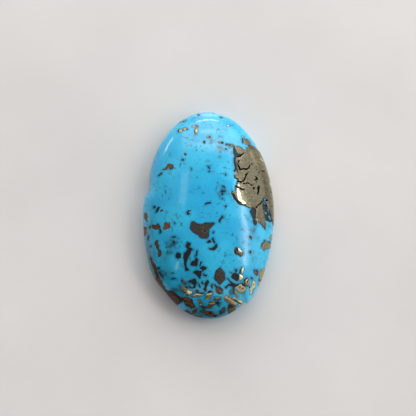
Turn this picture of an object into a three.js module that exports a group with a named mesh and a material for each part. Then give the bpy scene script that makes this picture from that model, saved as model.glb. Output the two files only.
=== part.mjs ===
// A polished turquoise cabochon with pyrite and dark host rock grown into it, one solid, in millimetres.
// +Y runs along the long axis of the oval and +Z up from the flat sawn back, which lies at z = 0.
import * as THREE from "three";

const LENGTH = 31.7;
const WIDTH = 19.8;
const HEIGHT = 7.2;
const GIRDLE = 2.2; // height of the widest line above the back
const PLAN_POWER = 2.02; // 2 is an ellipse
const SECTION_REACH = 2.3; // how full the section is towards the rim
const SECTION_RISE = 1.75; // how full the section is towards the top
const BACK_INSET = 0.6; // how much narrower the wall is at the back than at the girdle
const BACK_BEVEL = 0.25; // broken edge round the back
const TURN = 1.2; // degrees the oval is turned from the Y axis

// Swells and hollows of the outline: centre in degrees, spread before it, spread after it, size in mm.
const LUMPS = [
  [125, 22, 22, -0.08],
  [151, 12, 9, -0.41], // saddle on the left, above the bulge
  [158.5, 7, 5.5, -0.36],
  [176, 6, 10, 0.04],
  [203, 14, 20, 0.14],
  [226, 13, 11, 0.5], // belly at the lower left
  [268, 22, 16, 0.22],
  [293.4, 2.2, 14, 0.6], // corner at the lower right
];

// Ground flats: heading and elevation of the normal in degrees, a point of the flat, softness of its edge.
const FLATS = [
  [266, 46, 0, -12.95, 4.85, 0.22], // bevel across the lower end
  [-34.4, 14, 6.87, -12.37, 2.2, 0.06], // straight side that leads to the corner
];

// Harder or softer minerals that polish to another level: level against the stone in mm, then the outline.
const LEDGES = [
  [
    0.1, // pyrite mass along the right side
    [
      [4.1, 9.8],
      [5.1, 9.6],
      [5.6, 9.3],
      [6.2, 10.2],
      [7.4, 10.1],
      [12, 7],
      [12, -1],
      [9.8, -1.9],
      [9.2, 0.6],
      [8.5, 1.4],
      [8.5, -2.2],
      [8.2, -2.5],
      [7, -1.4],
      [6.9, 0.2],
      [5.1, 0.6],
      [4.2, 1.4],
      [3.6, 2.4],
      [4.2, 3.4],
      [3.9, 5],
      [4.2, 6.5],
      [4.1, 8],
    ],
  ],
  [
    -0.06, // dark inclusion near the middle
    [
      [-2.4, -2.05],
      [-1.4, -2.4],
      [0.9, -2.2],
      [0.1, -3.4],
      [0, -4.4],
      [-1.3, -4.5],
      [-2.6, -3.3],
    ],
  ],
  [
    0.08, // pyrite along the lower end
    [
      [2.4, -13],
      [3.2, -12.9],
      [4.9, -13.6],
      [4.6, -14],
      [2.4, -13.6],
    ],
  ],
];
const LEDGE_SOFT = 0.25; // half the width of a ledge's slope

const RINGS = 30; // rings of the dome, from the top to the girdle
const WALL_ROWS = 4; // rows of the wall, from the girdle to the back
const TURQUOISE = 0x3fb0dc;

const rad = THREE.MathUtils.degToRad;
const clamp = THREE.MathUtils.clamp;

// Radius of the plain oval at an angle.
function planRadius(theta) {
  const across = Math.abs(Math.cos(theta)) / (WIDTH / 2);
  const along = Math.abs(Math.sin(theta)) / (LENGTH / 2);
  return (across ** PLAN_POWER + along ** PLAN_POWER) ** (-1 / PLAN_POWER);
}

// Swell of the outline at an angle, which fades out quickly towards the middle of the dome.
function lump(theta, reach) {
  let sum = 0;
  for (const [at, before, after, size] of LUMPS) {
    const off = ((((theta * 180) / Math.PI - at + 180) % 360) + 360) % 360;
    const d = off - 180;
    sum += size * Math.exp(-((d / (d < 0 ? before : after)) ** 2));
  }
  return sum * reach ** 6;
}

// Section of the stone: t is 0 at the top, 1 at the girdle and 2 at the edge of the back.
function section(t) {
  const a = (clamp(t, 0, 1) * Math.PI) / 2;
  const w = clamp(t - 1, 0, 1);
  const reach = Math.sin(a) ** (2 / SECTION_REACH);
  const rise = Math.max(Math.cos(a), 0) ** (2 / SECTION_RISE);
  const z = t > 1 ? GIRDLE * (1 - w) : GIRDLE + (HEIGHT - GIRDLE) * rise;
  const bevel = clamp(1 - z / BACK_BEVEL, 0, 1) * BACK_BEVEL;
  return { reach, z, inset: BACK_INSET * w ** 1.5 + bevel };
}

// Moves a point that lies outside a ground flat back onto it, with a soft turn at the flat's edge.
function grind(p) {
  for (const [heading, elevation, x, y, z, soft] of FLATS) {
    const level = Math.cos(rad(elevation));
    const n = new THREE.Vector3(
      Math.cos(rad(heading)) * level,
      Math.sin(rad(heading)) * level,
      Math.sin(rad(elevation)),
    );
    const d = p.clone().sub(new THREE.Vector3(x, y, z)).dot(n);
    const over = d / soft > 30 ? d : soft * Math.log1p(Math.exp(d / soft));
    p.addScaledVector(n, -over);
  }
  return p;
}

// Point of the plain ground form at an angle and a place along the section.
function ground(theta, t) {
  const { reach, z, inset } = section(t);
  const r = planRadius(theta) * reach + lump(theta, reach) - inset;
  const turned = theta + rad(TURN);
  return grind(new THREE.Vector3(r * Math.cos(turned), r * Math.sin(turned), z));
}

// Distance from a plan point to an outline, positive inside.
function insideBy(outline, x, y) {
  let nearest = Infinity;
  let inside = false;
  outline.forEach(([bx, by], i) => {
    const [ax, ay] = outline[(i + outline.length - 1) % outline.length];
    const ex = bx - ax;
    const ey = by - ay;
    const along = clamp(((x - ax) * ex + (y - ay) * ey) / (ex * ex + ey * ey), 0, 1);
    nearest = Math.min(nearest, Math.hypot(x - ax - along * ex, y - ay - along * ey));
    if (ay > y !== by > y && x < ax + (ex * (y - ay)) / ey) inside = !inside;
  });
  return inside ? nearest : -nearest;
}

// Level of the ledges at a plan point.
function ledge(x, y) {
  let level = 0;
  for (const [height, outline] of LEDGES) {
    const d = insideBy(outline, x, y);
    level += height * THREE.MathUtils.smoothstep(d, -LEDGE_SOFT, LEDGE_SOFT);
  }
  return level;
}

// Point of the finished surface: the ground form moved out along its normal by the ledges.
function surface(theta, t) {
  const p = ground(theta, t);
  if (t > 1.9) return p;
  const step = 1e-3;
  const round = ground(theta + step, Math.max(t, step)).sub(ground(theta - step, Math.max(t, step)));
  const down = ground(theta, Math.max(t, step) + step).sub(ground(theta, Math.max(t, step)));
  const normal = down.cross(round).normalize();
  return p.addScaledVector(normal, ledge(p.x, p.y));
}

// Places along the section, from the top to the girdle, evenly spaced over the surface.
function ringPlaces(count) {
  const steps = 2000;
  const half = (LENGTH + WIDTH) / 4;
  const run = [0];
  let last = section(0);
  for (let i = 1; i <= steps; i++) {
    const next = section(i / steps);
    run.push(run[i - 1] + Math.hypot(half * (next.reach - last.reach), next.z - last.z));
    last = next;
  }
  const places = [0];
  let i = 1;
  for (let k = 1; k < count; k++) {
    const target = (run[steps] * k) / count;
    while (run[i] < target) i++;
    places.push((i - (run[i] - target) / (run[i] - run[i - 1])) / steps);
  }
  return [...places, 1];
}

// The dome is a square grid bent round: each square ring of the grid becomes one ring of the stone.
function stoneGeometry() {
  const places = ringPlaces(RINGS);
  const side = 2 * RINGS + 1;
  const points = [];
  const faces = [];
  for (let j = -RINGS; j <= RINGS; j++)
    for (let i = -RINGS; i <= RINGS; i++) {
      const ring = Math.max(Math.abs(i), Math.abs(j));
      const quarter = Math.abs(i) >= Math.abs(j) ? j / (i || 1) : 2 - i / j;
      const flip = Math.abs(i) >= Math.abs(j) ? i < 0 : j < 0;
      const theta = (Math.PI / 4) * (quarter + (flip ? 4 : 0));
      points.push(surface(theta, places[ring]));
    }
  const at = (i, j) => (j + RINGS) * side + i + RINGS;
  for (let j = -RINGS; j < RINGS; j++)
    for (let i = -RINGS; i < RINGS; i++) {
      const [a, b, c, d] = [at(i, j), at(i + 1, j), at(i + 1, j + 1), at(i, j + 1)];
      const outward = i + 0.5 > 0 === j + 0.5 > 0;
      faces.push(...(outward ? [a, b, c, a, c, d] : [a, b, d, b, c, d]));
    }

  // Rim of the grid in order, then the wall below it and the flat back.
  let row = [];
  for (let s = 0; s < 8 * RINGS; s++) {
    const leg = Math.floor(s / (2 * RINGS));
    const along = (s % (2 * RINGS)) - RINGS;
    const rim = [
      [RINGS, along],
      [-along, RINGS],
      [-RINGS, -along],
      [along, -RINGS],
    ][leg];
    row.push(at(rim[0], rim[1]));
  }
  for (let k = 1; k <= WALL_ROWS; k++) {
    const bevelTop = 2 - BACK_BEVEL / GIRDLE;
    const t = k === WALL_ROWS ? 2 : 1 + ((bevelTop - 1) * k) / (WALL_ROWS - 1);
    const lower = row.map((_, s) => {
      const p = surface((Math.PI / 4) * (s / RINGS - 1), t);
      if (k === WALL_ROWS) p.z = 0;
      return points.push(p) - 1;
    });
    row.forEach((a, s) => {
      const next = (s + 1) % row.length;
      faces.push(a, lower[s], lower[next], a, lower[next], row[next]);
    });
    row = lower;
  }
  const centre = points.push(new THREE.Vector3(0, 0, 0)) - 1;
  row.forEach((a, s) => faces.push(a, centre, row[(s + 1) % row.length]));

  const geometry = new THREE.BufferGeometry().setFromPoints(points);
  geometry.setIndex(faces);
  geometry.computeBoundingBox();
  const middle = geometry.boundingBox.getCenter(new THREE.Vector3());
  geometry.translate(-middle.x, -middle.y, 0);
  geometry.computeVertexNormals();
  return geometry;
}

const stone = new THREE.Mesh(
  stoneGeometry(),
  new THREE.MeshStandardMaterial({ color: TURQUOISE, roughness: 0.2 }),
);
stone.name = "turquoise_stone";

const root = new THREE.Group();
root.name = "turquoise_cabochon";
root.add(stone);
export default root;
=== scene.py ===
"""Looks of a polished turquoise cabochon with pyrite and host rock grown into it.

The stone's surface is worked out again at a fine step from the same form as the solid, so its box is
the solid's box. Lengths are millimetres until a mesh is made, and metres in the mesh. Plan places are
measured from the middle of the oval, +x towards the pyrite side and +y towards the full end.
"""

from functools import partial
from math import cos, pi, radians, sin, tan

import bpy
import numpy as np
from mathutils import Matrix, Vector


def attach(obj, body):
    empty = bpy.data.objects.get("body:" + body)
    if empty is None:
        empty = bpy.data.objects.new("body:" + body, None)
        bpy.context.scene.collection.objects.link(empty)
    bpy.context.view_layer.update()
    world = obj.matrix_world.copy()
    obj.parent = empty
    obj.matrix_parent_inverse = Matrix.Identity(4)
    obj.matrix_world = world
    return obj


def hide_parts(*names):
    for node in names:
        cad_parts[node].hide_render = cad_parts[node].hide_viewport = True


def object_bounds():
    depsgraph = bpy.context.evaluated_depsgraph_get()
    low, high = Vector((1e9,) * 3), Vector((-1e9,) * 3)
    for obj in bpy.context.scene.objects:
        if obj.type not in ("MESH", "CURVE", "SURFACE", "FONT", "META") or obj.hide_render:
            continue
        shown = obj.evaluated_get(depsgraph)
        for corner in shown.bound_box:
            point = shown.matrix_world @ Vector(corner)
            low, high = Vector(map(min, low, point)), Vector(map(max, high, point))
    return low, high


bl_info = {
    "name": "Turquoise cabochon",
    "version": (1, 0, 0),
    "blender": (4, 5, 0),
    "location": "View3D > Sidebar > Stone",
    "description": "Builds a polished turquoise cabochon with pyrite, its floor, lights and camera",
    "category": "Object",
}

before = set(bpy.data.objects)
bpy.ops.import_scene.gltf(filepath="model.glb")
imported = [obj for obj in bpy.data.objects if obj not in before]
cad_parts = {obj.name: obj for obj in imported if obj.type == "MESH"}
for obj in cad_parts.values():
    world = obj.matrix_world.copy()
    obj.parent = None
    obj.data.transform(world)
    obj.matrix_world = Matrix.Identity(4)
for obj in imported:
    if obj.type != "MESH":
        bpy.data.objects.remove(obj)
SOLID_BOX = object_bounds()
MM = 0.001
NODE = "turquoise_stone"

# Form of the stone, the same values as its solid
LENGTH = 31.7
WIDTH = 19.8
HEIGHT = 7.2
GIRDLE = 2.2
PLAN_POWER = 2.02
SECTION_REACH = 2.3
SECTION_RISE = 1.75
BACK_INSET = 0.6
BACK_BEVEL = 0.25
TURN = 1.2

# Swells and hollows of the outline: centre in degrees, spread before it, spread after it, size
LUMPS = [
    (125, 22, 22, -0.08),
    (151, 12, 9, -0.41),
    (158.5, 7, 5.5, -0.36),
    (176, 6, 10, 0.04),
    (203, 14, 20, 0.14),
    (226, 13, 11, 0.5),
    (268, 22, 16, 0.22),
    (293.4, 2.2, 14, 0.6),
]

# Ground flats: heading and elevation of the normal in degrees, a point of the flat, softness of its edge
FLATS = [
    (266, 46, (0, -12.95, 4.85), 0.22),
    (-34.4, 14, (6.87, -12.37, 2.2), 0.06),
]

# Mesh: rings of the dome, rows of the wall, half the cells across the back
DOME_RINGS = 128
WALL_ROWS = 14
BACK_RINGS = 64
SECTION_STEPS = 2000  # steps that the length of the section is measured in

# Grown-in minerals. Each has a tone, then its shapes. An area is a closed outline that is rounded when it
# is used, a band is a line with a radius, and a spot is x, y, half length, half width and tilt in degrees.
PYRITE_MASS = [
    (4.15, 9.87), (4.85, 9.7), (5.15, 9.5), (5.5, 9.28), (5.75, 9.6), (6.05, 10.02), (6.65, 10.38),
    (7.15, 9.9), (7.6, 9.7), (8.5, 9.5), (11, 6.5), (11.3, 1), (10.6, -1.9), (9.85, -1.95), (9.65, -1.3),
    (9.45, -0.3), (9.15, 0.6), (8.85, 1.3), (8.6, 2.0), (8.2, 1.9), (8.1, 1.2), (8.25, 0.2), (8.35, -0.6),
    (8.58, -1.3), (8.52, -2.1), (8.4, -2.65), (8.07, -2.25), (7.5, -1.8), (7.05, -1.5), (7.02, -0.9),
    (7.12, -0.4), (7.0, 0.25), (6.5, 0.17), (6.03, 0.25), (5.5, 0.58), (4.95, 0.62), (4.5, 1.05),
    (4.0, 1.6), (3.72, 2.05), (3.6, 2.55), (4.15, 2.7), (4.12, 3.3), (4.3, 3.6), (4.15, 4.05), (4.5, 4.45),
    (4.05, 4.62), (3.82, 5.05), (4.0, 5.45), (4.4, 5.6), (4.12, 6.1), (4.2, 7.0), (4.08, 7.75), (4.4, 8.05),
    (4.9, 8.28), (4.6, 8.58), (4.1, 8.9), (4.0, 9.4),
]

# Pyrite tones are partly the grains' own tarnish and partly painted reflection: low tones where the pyrite
# shows bright glints, high tones where it mirrors the dark overhead.
PYRITE = {
    "mass along the right side": (0.5, "area", PYRITE_MASS),
    # Painted reflection: the upper right of the mass is drawn lighter for its brighter grazing reflection
    "painted sheen on the upper mass": (0.47, "area", [
        (6.3, 9.6), (7.4, 9.6), (8.6, 7.6), (9.2, 6.0), (8.0, 6.3), (6.8, 7.3), (6.2, 8.6),
    ]),
    # Painted reflection: this streak and the chip over it are the strip light's mirror reflection, drawn as
    # the cleanest pyrite
    "painted reflection streak": (0, "area", [
        (4.2, 3.07), (4.46, 3.05), (4.62, 2.74), (4.72, 2.35), (4.82, 1.9), (4.96, 1.5), (5.25, 1.02),
        (5.6, 0.78), (5.4, 0.74), (5.0, 0.78), (4.72, 1.05), (4.5, 1.4), (4.36, 1.92), (4.22, 2.45),
    ]),
    "painted glint over the streak": (0.05, "area", [
        (4.26, 3.88), (4.48, 3.82), (4.72, 3.44), (4.61, 3.26), (4.34, 3.49),
    ]),
    "bright chip on the rim": (0.05, "spot", (8.05, 8.15, 0.25, 0.12, -50)),
    "long bright chip on the rim": (0.05, "spot", (9.42, 4.45, 0.13, 0.38, 12)),
    "grain above the mass": (0.47, "area", [
        (5.3, 11), (5.65, 11.3), (6.05, 11.3), (6.4, 10.75), (6.35, 10.38), (5.85, 10.25), (5.4, 10.45),
    ]),
    "chip over that grain": (0.3, "spot", (5.3, 11.55, 0.17, 0.14, 0)),
    "bright bar": (0, "area", [
        (-4.22, -11.3), (-3.98, -11.14), (-3.7, -11.42), (-3.32, -11.82), (-2.99, -12.08), (-2.53, -12.14),
        (-2.38, -12.37), (-2.56, -12.58), (-2.96, -12.76), (-3.28, -12.56), (-3.72, -12.08), (-4.11, -11.7),
    ]),
    "thin sliver": (0.15, "area", [
        (-2.6, -12.84), (-2.09, -12.63), (-1.57, -12.58), (-0.95, -12.62), (-0.6, -12.75), (-1.19, -12.9),
        (-1.95, -12.95), (-2.5, -12.97),
    ]),
    "hook in the bevel": (0.15, "area", [
        (-0.58, -13.28), (-0.51, -12.98), (-0.17, -12.63), (0.22, -12.52), (0.65, -12.38), (0.57, -12.91),
        (0.18, -13.16), (-0.23, -13.28),
    ]),
    "small bar in the bevel": (0.42, "area", [
        (0.85, -13.1), (1.3, -13.05), (1.98, -13.13), (1.85, -13.35), (1.2, -13.47), (0.95, -13.35),
    ]),
    "cap of the brown grain": (0.32, "area", [
        (0.06, -13.8), (0.25, -13.58), (0.55, -13.5), (0.95, -13.66), (1.04, -13.9), (0.58, -13.97),
        (0.18, -14.0),
    ]),
    "gold-brown end": (0.66, "area", [
        (-0.1, -15.2), (0.1, -15.08), (0.45, -15.12), (0.6, -15.3), (0.4, -15.45), (0.15, -15.6),
        (-0.05, -15.45),
    ]),
    "gold-brown bar": (0.3, "area", [
        (-1.58, -13.4), (-1.37, -13.34), (-1.13, -13.6), (-0.84, -13.86), (-0.92, -14.13), (-1.27, -14.08),
        (-1.5, -13.81),
    ]),
    "broad bar at the corner": (0.28, "area", [
        (2.36, -13.2), (2.5, -12.98), (2.75, -12.88), (3.06, -12.97), (3.34, -13.13), (3.59, -13.36),
        (3.89, -13.56), (4.27, -13.7), (4.25, -13.89), (3.93, -13.98), (3.35, -13.98), (2.86, -13.74),
        (2.5, -13.55),
    ]),
    "ridge of the corner": (0.1, "area", [
        (3.61, -13.0), (3.93, -13.04), (4.24, -13.24), (4.48, -13.33), (4.82, -13.36), (5.1, -13.42),
        (5.1, -13.64), (4.85, -13.76), (4.53, -13.6), (4.32, -13.56), (4.04, -13.47), (3.78, -13.3),
    ]),
    "lit edge of the bar": (0.05, "band", 0.09, [(3.1, -13.3), (3.5, -13.58), (3.95, -13.8)]),
    "brown part of the corner": (0.72, "area", [
        (3.07, -14.02), (3.44, -14.0), (3.81, -13.96), (4.15, -14.0), (4.28, -14.2), (4.0, -14.42),
        (4.0, -14.63), (3.49, -14.85), (3.25, -14.98), (3.0, -15.2), (2.94, -14.78), (3.04, -14.41),
    ]),
    "chip at the corner": (0.1, "spot", (4.68, -14.03, 0.24, 0.1, -10)),
    # Painted glints: the mirror sliver and the mirror grain are drawn as the cleanest pyrite for the bright
    # reflections they show
    "mirror sliver": (0, "area", [(5.12, -8.5), (5.27, -8.85), (5.12, -9.42), (4.9, -9.6), (4.74, -9.35)]),
    "mirror grain": (0, "area", [
        (4.54, -9.66), (4.8, -9.7), (5.1, -9.98), (5.24, -10.22), (5.0, -10.48), (4.69, -10.64),
        (4.54, -10.4), (4.66, -10.05),
    ]),
    "speckled grain": (0.2, "area", [
        (3.91, -11.56), (4.21, -11.45), (4.52, -11.35), (4.67, -11.17), (4.97, -11.19), (5.04, -11.34),
        (5.39, -11.45), (5.54, -11.78), (5.52, -12.0), (5.29, -12.19), (4.93, -12.39), (4.76, -12.28),
        (4.51, -12.08), (4.21, -11.93),
    ]),
    "bright fleck on it": (0.02, "spot", (4.8, -11.24, 0.22, 0.12, 0)),
    "foot of the speckled grain": (0.1, "spot", (4.9, -12.2, 0.35, 0.14, 10)),
    "slanting bar": (0.28, "area", [
        (3.92, -12.09), (4.12, -12.15), (4.35, -12.5), (4.49, -12.72), (4.37, -12.9), (4.22, -12.84),
        (4.06, -12.54), (3.93, -12.31),
    ]),
    "middle grain": (0.3, "area", [
        (5.55, -10.68), (5.75, -10.35), (5.98, -10.42), (6.12, -10.69), (6.1, -11.02), (5.91, -11.25),
        (5.6, -11.13), (5.53, -10.88),
    ]),
    "long grain": (0.15, "area", [
        (6.47, -10.95), (6.55, -10.6), (6.82, -10.45), (7.1, -10.65), (7.06, -10.97), (6.98, -11.37),
        (6.88, -11.69), (6.65, -12.04), (6.48, -12.35), (6.2, -12.28), (6.26, -12.0), (6.12, -11.73),
        (6.3, -11.48), (6.48, -11.21),
    ]),
    "bright foot of it": (0.02, "spot", (6.45, -12.1, 0.14, 0.26, -20)),
    "bright shoulder of it": (0.05, "spot", (6.85, -11.45, 0.14, 0.28, -15)),
    "round grain": (0.62, "spot", (7.15, -9.3, 0.3, 0.38, 0)),
    "grain on the rim": (0.4, "area", [
        (7.95, -8.75), (8.2, -8.5), (9.2, -8.4), (8.6, -10.2), (7.9, -10.3), (7.66, -10.0), (7.75, -9.4),
    ]),
    "chip on the rim": (0.25, "band", 0.13, [(7.85, -10.42), (7.62, -10.85)]),
    "small grain on the right rim": (0.42, "area", [
        (9.2, -3.87), (9.5, -3.48), (10.2, -3.4), (10.2, -4.0), (9.36, -4.05),
    ]),
    "large grain on the right rim": (0.45, "area", [
        (8.05, -5.34), (8.38, -4.8), (8.82, -4.44), (9.1, -4.66), (9.52, -4.76), (10.2, -4.8), (10.2, -5.2),
        (9.0, -5.38), (8.69, -5.73), (8.31, -5.9), (8.06, -5.67),
    ]),
    "grain with a bright edge": (0.78, "area", [
        (3.94, -6.1), (4.23, -5.81), (4.57, -5.81), (4.9, -6.09), (5.03, -6.43), (5.22, -6.84),
        (4.96, -7.06), (4.54, -6.98), (4.09, -6.78), (3.88, -6.38),
    ]),
    # Painted glint along this grain's edge
    "its bright edge": (0.02, "band", 0.08, [(4.48, -5.9), (4.74, -6.07), (4.98, -6.33)]),
    "light patch of it": (0.2, "band", 0.07, [(4.5, -6.1), (4.55, -6.42)]),
    "piece left of the spear": (0.3, "area", [
        (6.93, -1.17), (7.15, -1.28), (7.42, -1.6), (7.37, -1.82), (7.04, -1.62),
    ]),
    "dark grain in the middle": (1.0, "area", [
        (-2.45, -2.05), (-2.05, -1.98), (-1.5, -2.4), (-1.0, -2.37), (0.1, -2.1), (0.82, -2.15),
        (0.95, -2.38), (0.3, -2.85), (0.05, -3.4), (0.12, -4.1), (-0.1, -4.45), (-0.8, -4.6), (-1.3, -4.5),
        (-1.5, -4.0), (-2.15, -3.75), (-2.55, -3.3), (-2.72, -2.7),
    ]),
    "dark grain at the lower right": (0.97, "area", [
        (1.3, -9.15), (1.6, -8.85), (2.1, -9.1), (2.45, -9.6), (2.42, -10.1), (2.6, -10.4), (2.2, -10.8),
        (1.7, -11.25), (1.3, -10.85), (0.92, -10.55), (0.98, -9.7),
    ]),
    "leaning grain": (0.85, "area", [
        (1.04, -11.14), (1.27, -11.46), (1.56, -11.5), (1.88, -11.74), (2.14, -12.0), (2.14, -12.24),
        (1.93, -12.46), (1.65, -12.6), (1.41, -12.42), (1.2, -12.17), (1.02, -12.02),
    ]),
    "brown foot of it": (0.5, "spot", (1.86, -12.3, 0.28, 0.13, -45)),
    "cream chip": (0.3, "spot", (-4.26, 12.45, 0.2, 0.25, 0)),
    "peach chip": (0.38, "spot", (-3.62, 12.62, 0.24, 0.17, 15)),
    "tan chip": (0.45, "spot", (-2.25, 13.07, 0.22, 0.18, 0)),
    "grey chip": (0.55, "spot", (-1.7, 13.12, 0.18, 0.18, 0)),
    "upright chip": (0.4, "spot", (-1.83, 12.2, 0.18, 0.42, 0)),
    "chip near the top": (0.5, "spot", (-0.05, 11.12, 0.17, 0.16, 0)),
    "tan fleck": (0.5, "spot", (1.68, 10.35, 0.17, 0.16, 0)),
    "grey fleck": (0.6, "spot", (3.5, 9.9, 0.25, 0.15, 0)),
    # Painted glint: the bright fleck near the top
    "bright fleck near the top": (0.0, "spot", (3.1, 13.25, 0.2, 0.14, 0)),
    "fleck on the top rim": (0.3, "spot", (-3.6, 14.3, 0.15, 0.15, 0)),
    "faint fleck": (0.5, "spot", (1.98, 14.75, 0.22, 0.14, 0)),
    "pink fleck": (0.4, "spot", (-3.8, -10.72, 0.15, 0.26, 25)),
    "second pink fleck": (0.45, "spot", (-3.48, -11.02, 0.12, 0.16, 25)),
    "olive foot": (0.6, "area", [
        (-2.95, -11.48), (-2.55, -11.44), (-2.27, -11.7), (-2.4, -11.86), (-2.8, -11.63),
    ]),
    "brown fleck": (0.66, "spot", (-1.65, -12.2, 0.2, 0.17, -40)),
}

RUST = {
    "oval on the left rim": (0.3, "area", [
        (-9.72, 0.05), (-9.4, 0.1), (-9.07, -0.8), (-9.08, -1.7), (-9.4, -1.5), (-9.65, -0.8),
    ]),
    "knob": (0.45, "area", [
        (-8.4, -2.0), (-8.1, -2.05), (-7.9, -2.3), (-7.5, -2.05), (-7.2, -2.3), (-7.12, -2.85),
        (-7.6, -2.8), (-8.0, -2.95), (-8.4, -2.8),
    ]),
    "round": (0, "area", [
        (-6.65, -2.0), (-6.0, -1.88), (-5.68, -2.4), (-5.85, -3.0), (-6.6, -3.15), (-6.82, -2.7),
    ]),
    "stain on the left rim": (0.4, "area", [
        (-10.2, -2.0), (-9.45, -2.15), (-9.33, -2.6), (-9.25, -3.1), (-9.25, -3.4), (-10, -3.5),
    ]),
    "long curl": (0.35, "band", 0.25, [
        (-7.73, -4.65), (-7.78, -5.2), (-7.6, -5.6), (-7.3, -6.1), (-7.25, -6.7),
    ]),
    "small stain": (0.3, "spot", (-7.0, -0.18, 0.27, 0.18, 12)),
    "crescent": (0.15, "area", [
        (-6.6, 6.3), (-6.25, 6.95), (-5.9, 7.15), (-5.45, 7.0), (-5.2, 6.6), (-5.2, 6.2), (-5.5, 6.1),
        (-5.75, 6.5), (-6.0, 6.45), (-6.3, 6.2),
    ]),
    "fleck": (0.2, "spot", (-3.45, 8.45, 0.2, 0.2, 0)),
    "brown of the left rim": (0.75, "area", [
        (-8.7, -6.8), (-8.5, -7.1), (-8.2, -7.65), (-7.88, -8.23), (-7.66, -8.81), (-7.5, -9.32),
        (-7.38, -9.83), (-7.14, -10.19), (-6.85, -10.7), (-6.6, -11.28), (-6.34, -11.64), (-6.9, -12.1),
        (-7.7, -11.2), (-8.4, -10.3), (-7.9, -9.9), (-7.94, -9.25), (-8.16, -8.74), (-8.4, -8.23),
        (-8.62, -7.65), (-8.8, -7.1),
    ]),
    "brown end": (0.95, "area", [
        (-6.64, -11.45), (-6.2, -11.74), (-5.58, -11.91), (-5.17, -12.12), (-4.83, -12.36), (-4.25, -12.81),
        (-4.05, -13.23), (-4.12, -13.71), (-4.55, -13.98), (-5.1, -14.1), (-5.9, -13.6), (-6.6, -12.8),
    ]),
    "ridged brown end": (0.7, "area", [
        (-3.94, -13.04), (-3.5, -12.94), (-2.98, -13.02), (-2.56, -13.27), (-2.29, -13.6), (-1.99, -14.06),
        (-1.92, -14.47), (-2.47, -14.56), (-2.86, -14.52), (-3.32, -14.26), (-3.61, -13.78), (-3.9, -13.43),
    ]),
    "furrow of the brown end": (0.4, "band", 0.09, [(-5.16, -12.75), (-4.76, -13.04), (-4.5, -13.39)]),
    "second furrow of it": (0.5, "band", 0.07, [(-5.47, -12.7), (-5.18, -13.12), (-4.88, -13.54)]),
    "upper ridge": (0.05, "band", 0.1, [(-3.62, -13.12), (-3.1, -13.2), (-2.75, -13.4)]),
    "lower ridge": (0.15, "band", 0.1, [(-3.35, -13.75), (-2.8, -13.85), (-2.35, -14.1)]),
    "left red end": (0.55, "area", [
        (-2.44, -14.96), (-2.17, -14.66), (-1.74, -14.57), (-1.54, -14.77), (-1.81, -15.06),
        (-2.17, -15.26), (-2.46, -15.21),
    ]),
    "connected brown ends": (0.5, "area", [
        (-1.39, -14.85), (-0.84, -14.72), (-0.45, -14.86), (0.15, -14.9), (0.63, -15.0), (0.95, -15.31),
        (0.57, -15.48), (0.36, -15.75), (0.07, -15.85), (-0.22, -15.6), (-0.48, -15.3), (-0.94, -15.2),
        (-1.27, -15.1),
    ]),
    "brown grain": (0.4, "area", [
        (-0.37, -14.37), (0.02, -14.05), (0.22, -13.8), (0.88, -13.78), (1.0, -14.06), (0.56, -14.43),
        (0.15, -14.58), (-0.26, -14.62),
    ]),
    "right stain in the wall": (0.35, "area", [
        (2.0, -14.42), (2.38, -14.36), (2.68, -14.42), (2.56, -14.81), (2.44, -15.1), (2.14, -15.2),
        (1.98, -14.95),
    ]),
    "brown rim under the corner": (0.45, "area", [
        (2.95, -14.6), (3.45, -14.7), (4.0, -14.6), (4.3, -14.5), (4.1, -14.85), (3.6, -15.1),
        (3.1, -15.35), (2.85, -15.3),
    ]),
    "low stain": (0.6, "band", 0.12, [(1.3, -14.07), (1.67, -14.3)]),
    "lower stain": (0.5, "spot", (1.2, -15.45, 0.25, 0.15, 0)),
    "stain at the hook": (0.6, "band", 0.14, [(-3.08, -0.6), (-2.9, -0.4), (-2.65, -0.3)]),
}

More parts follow.
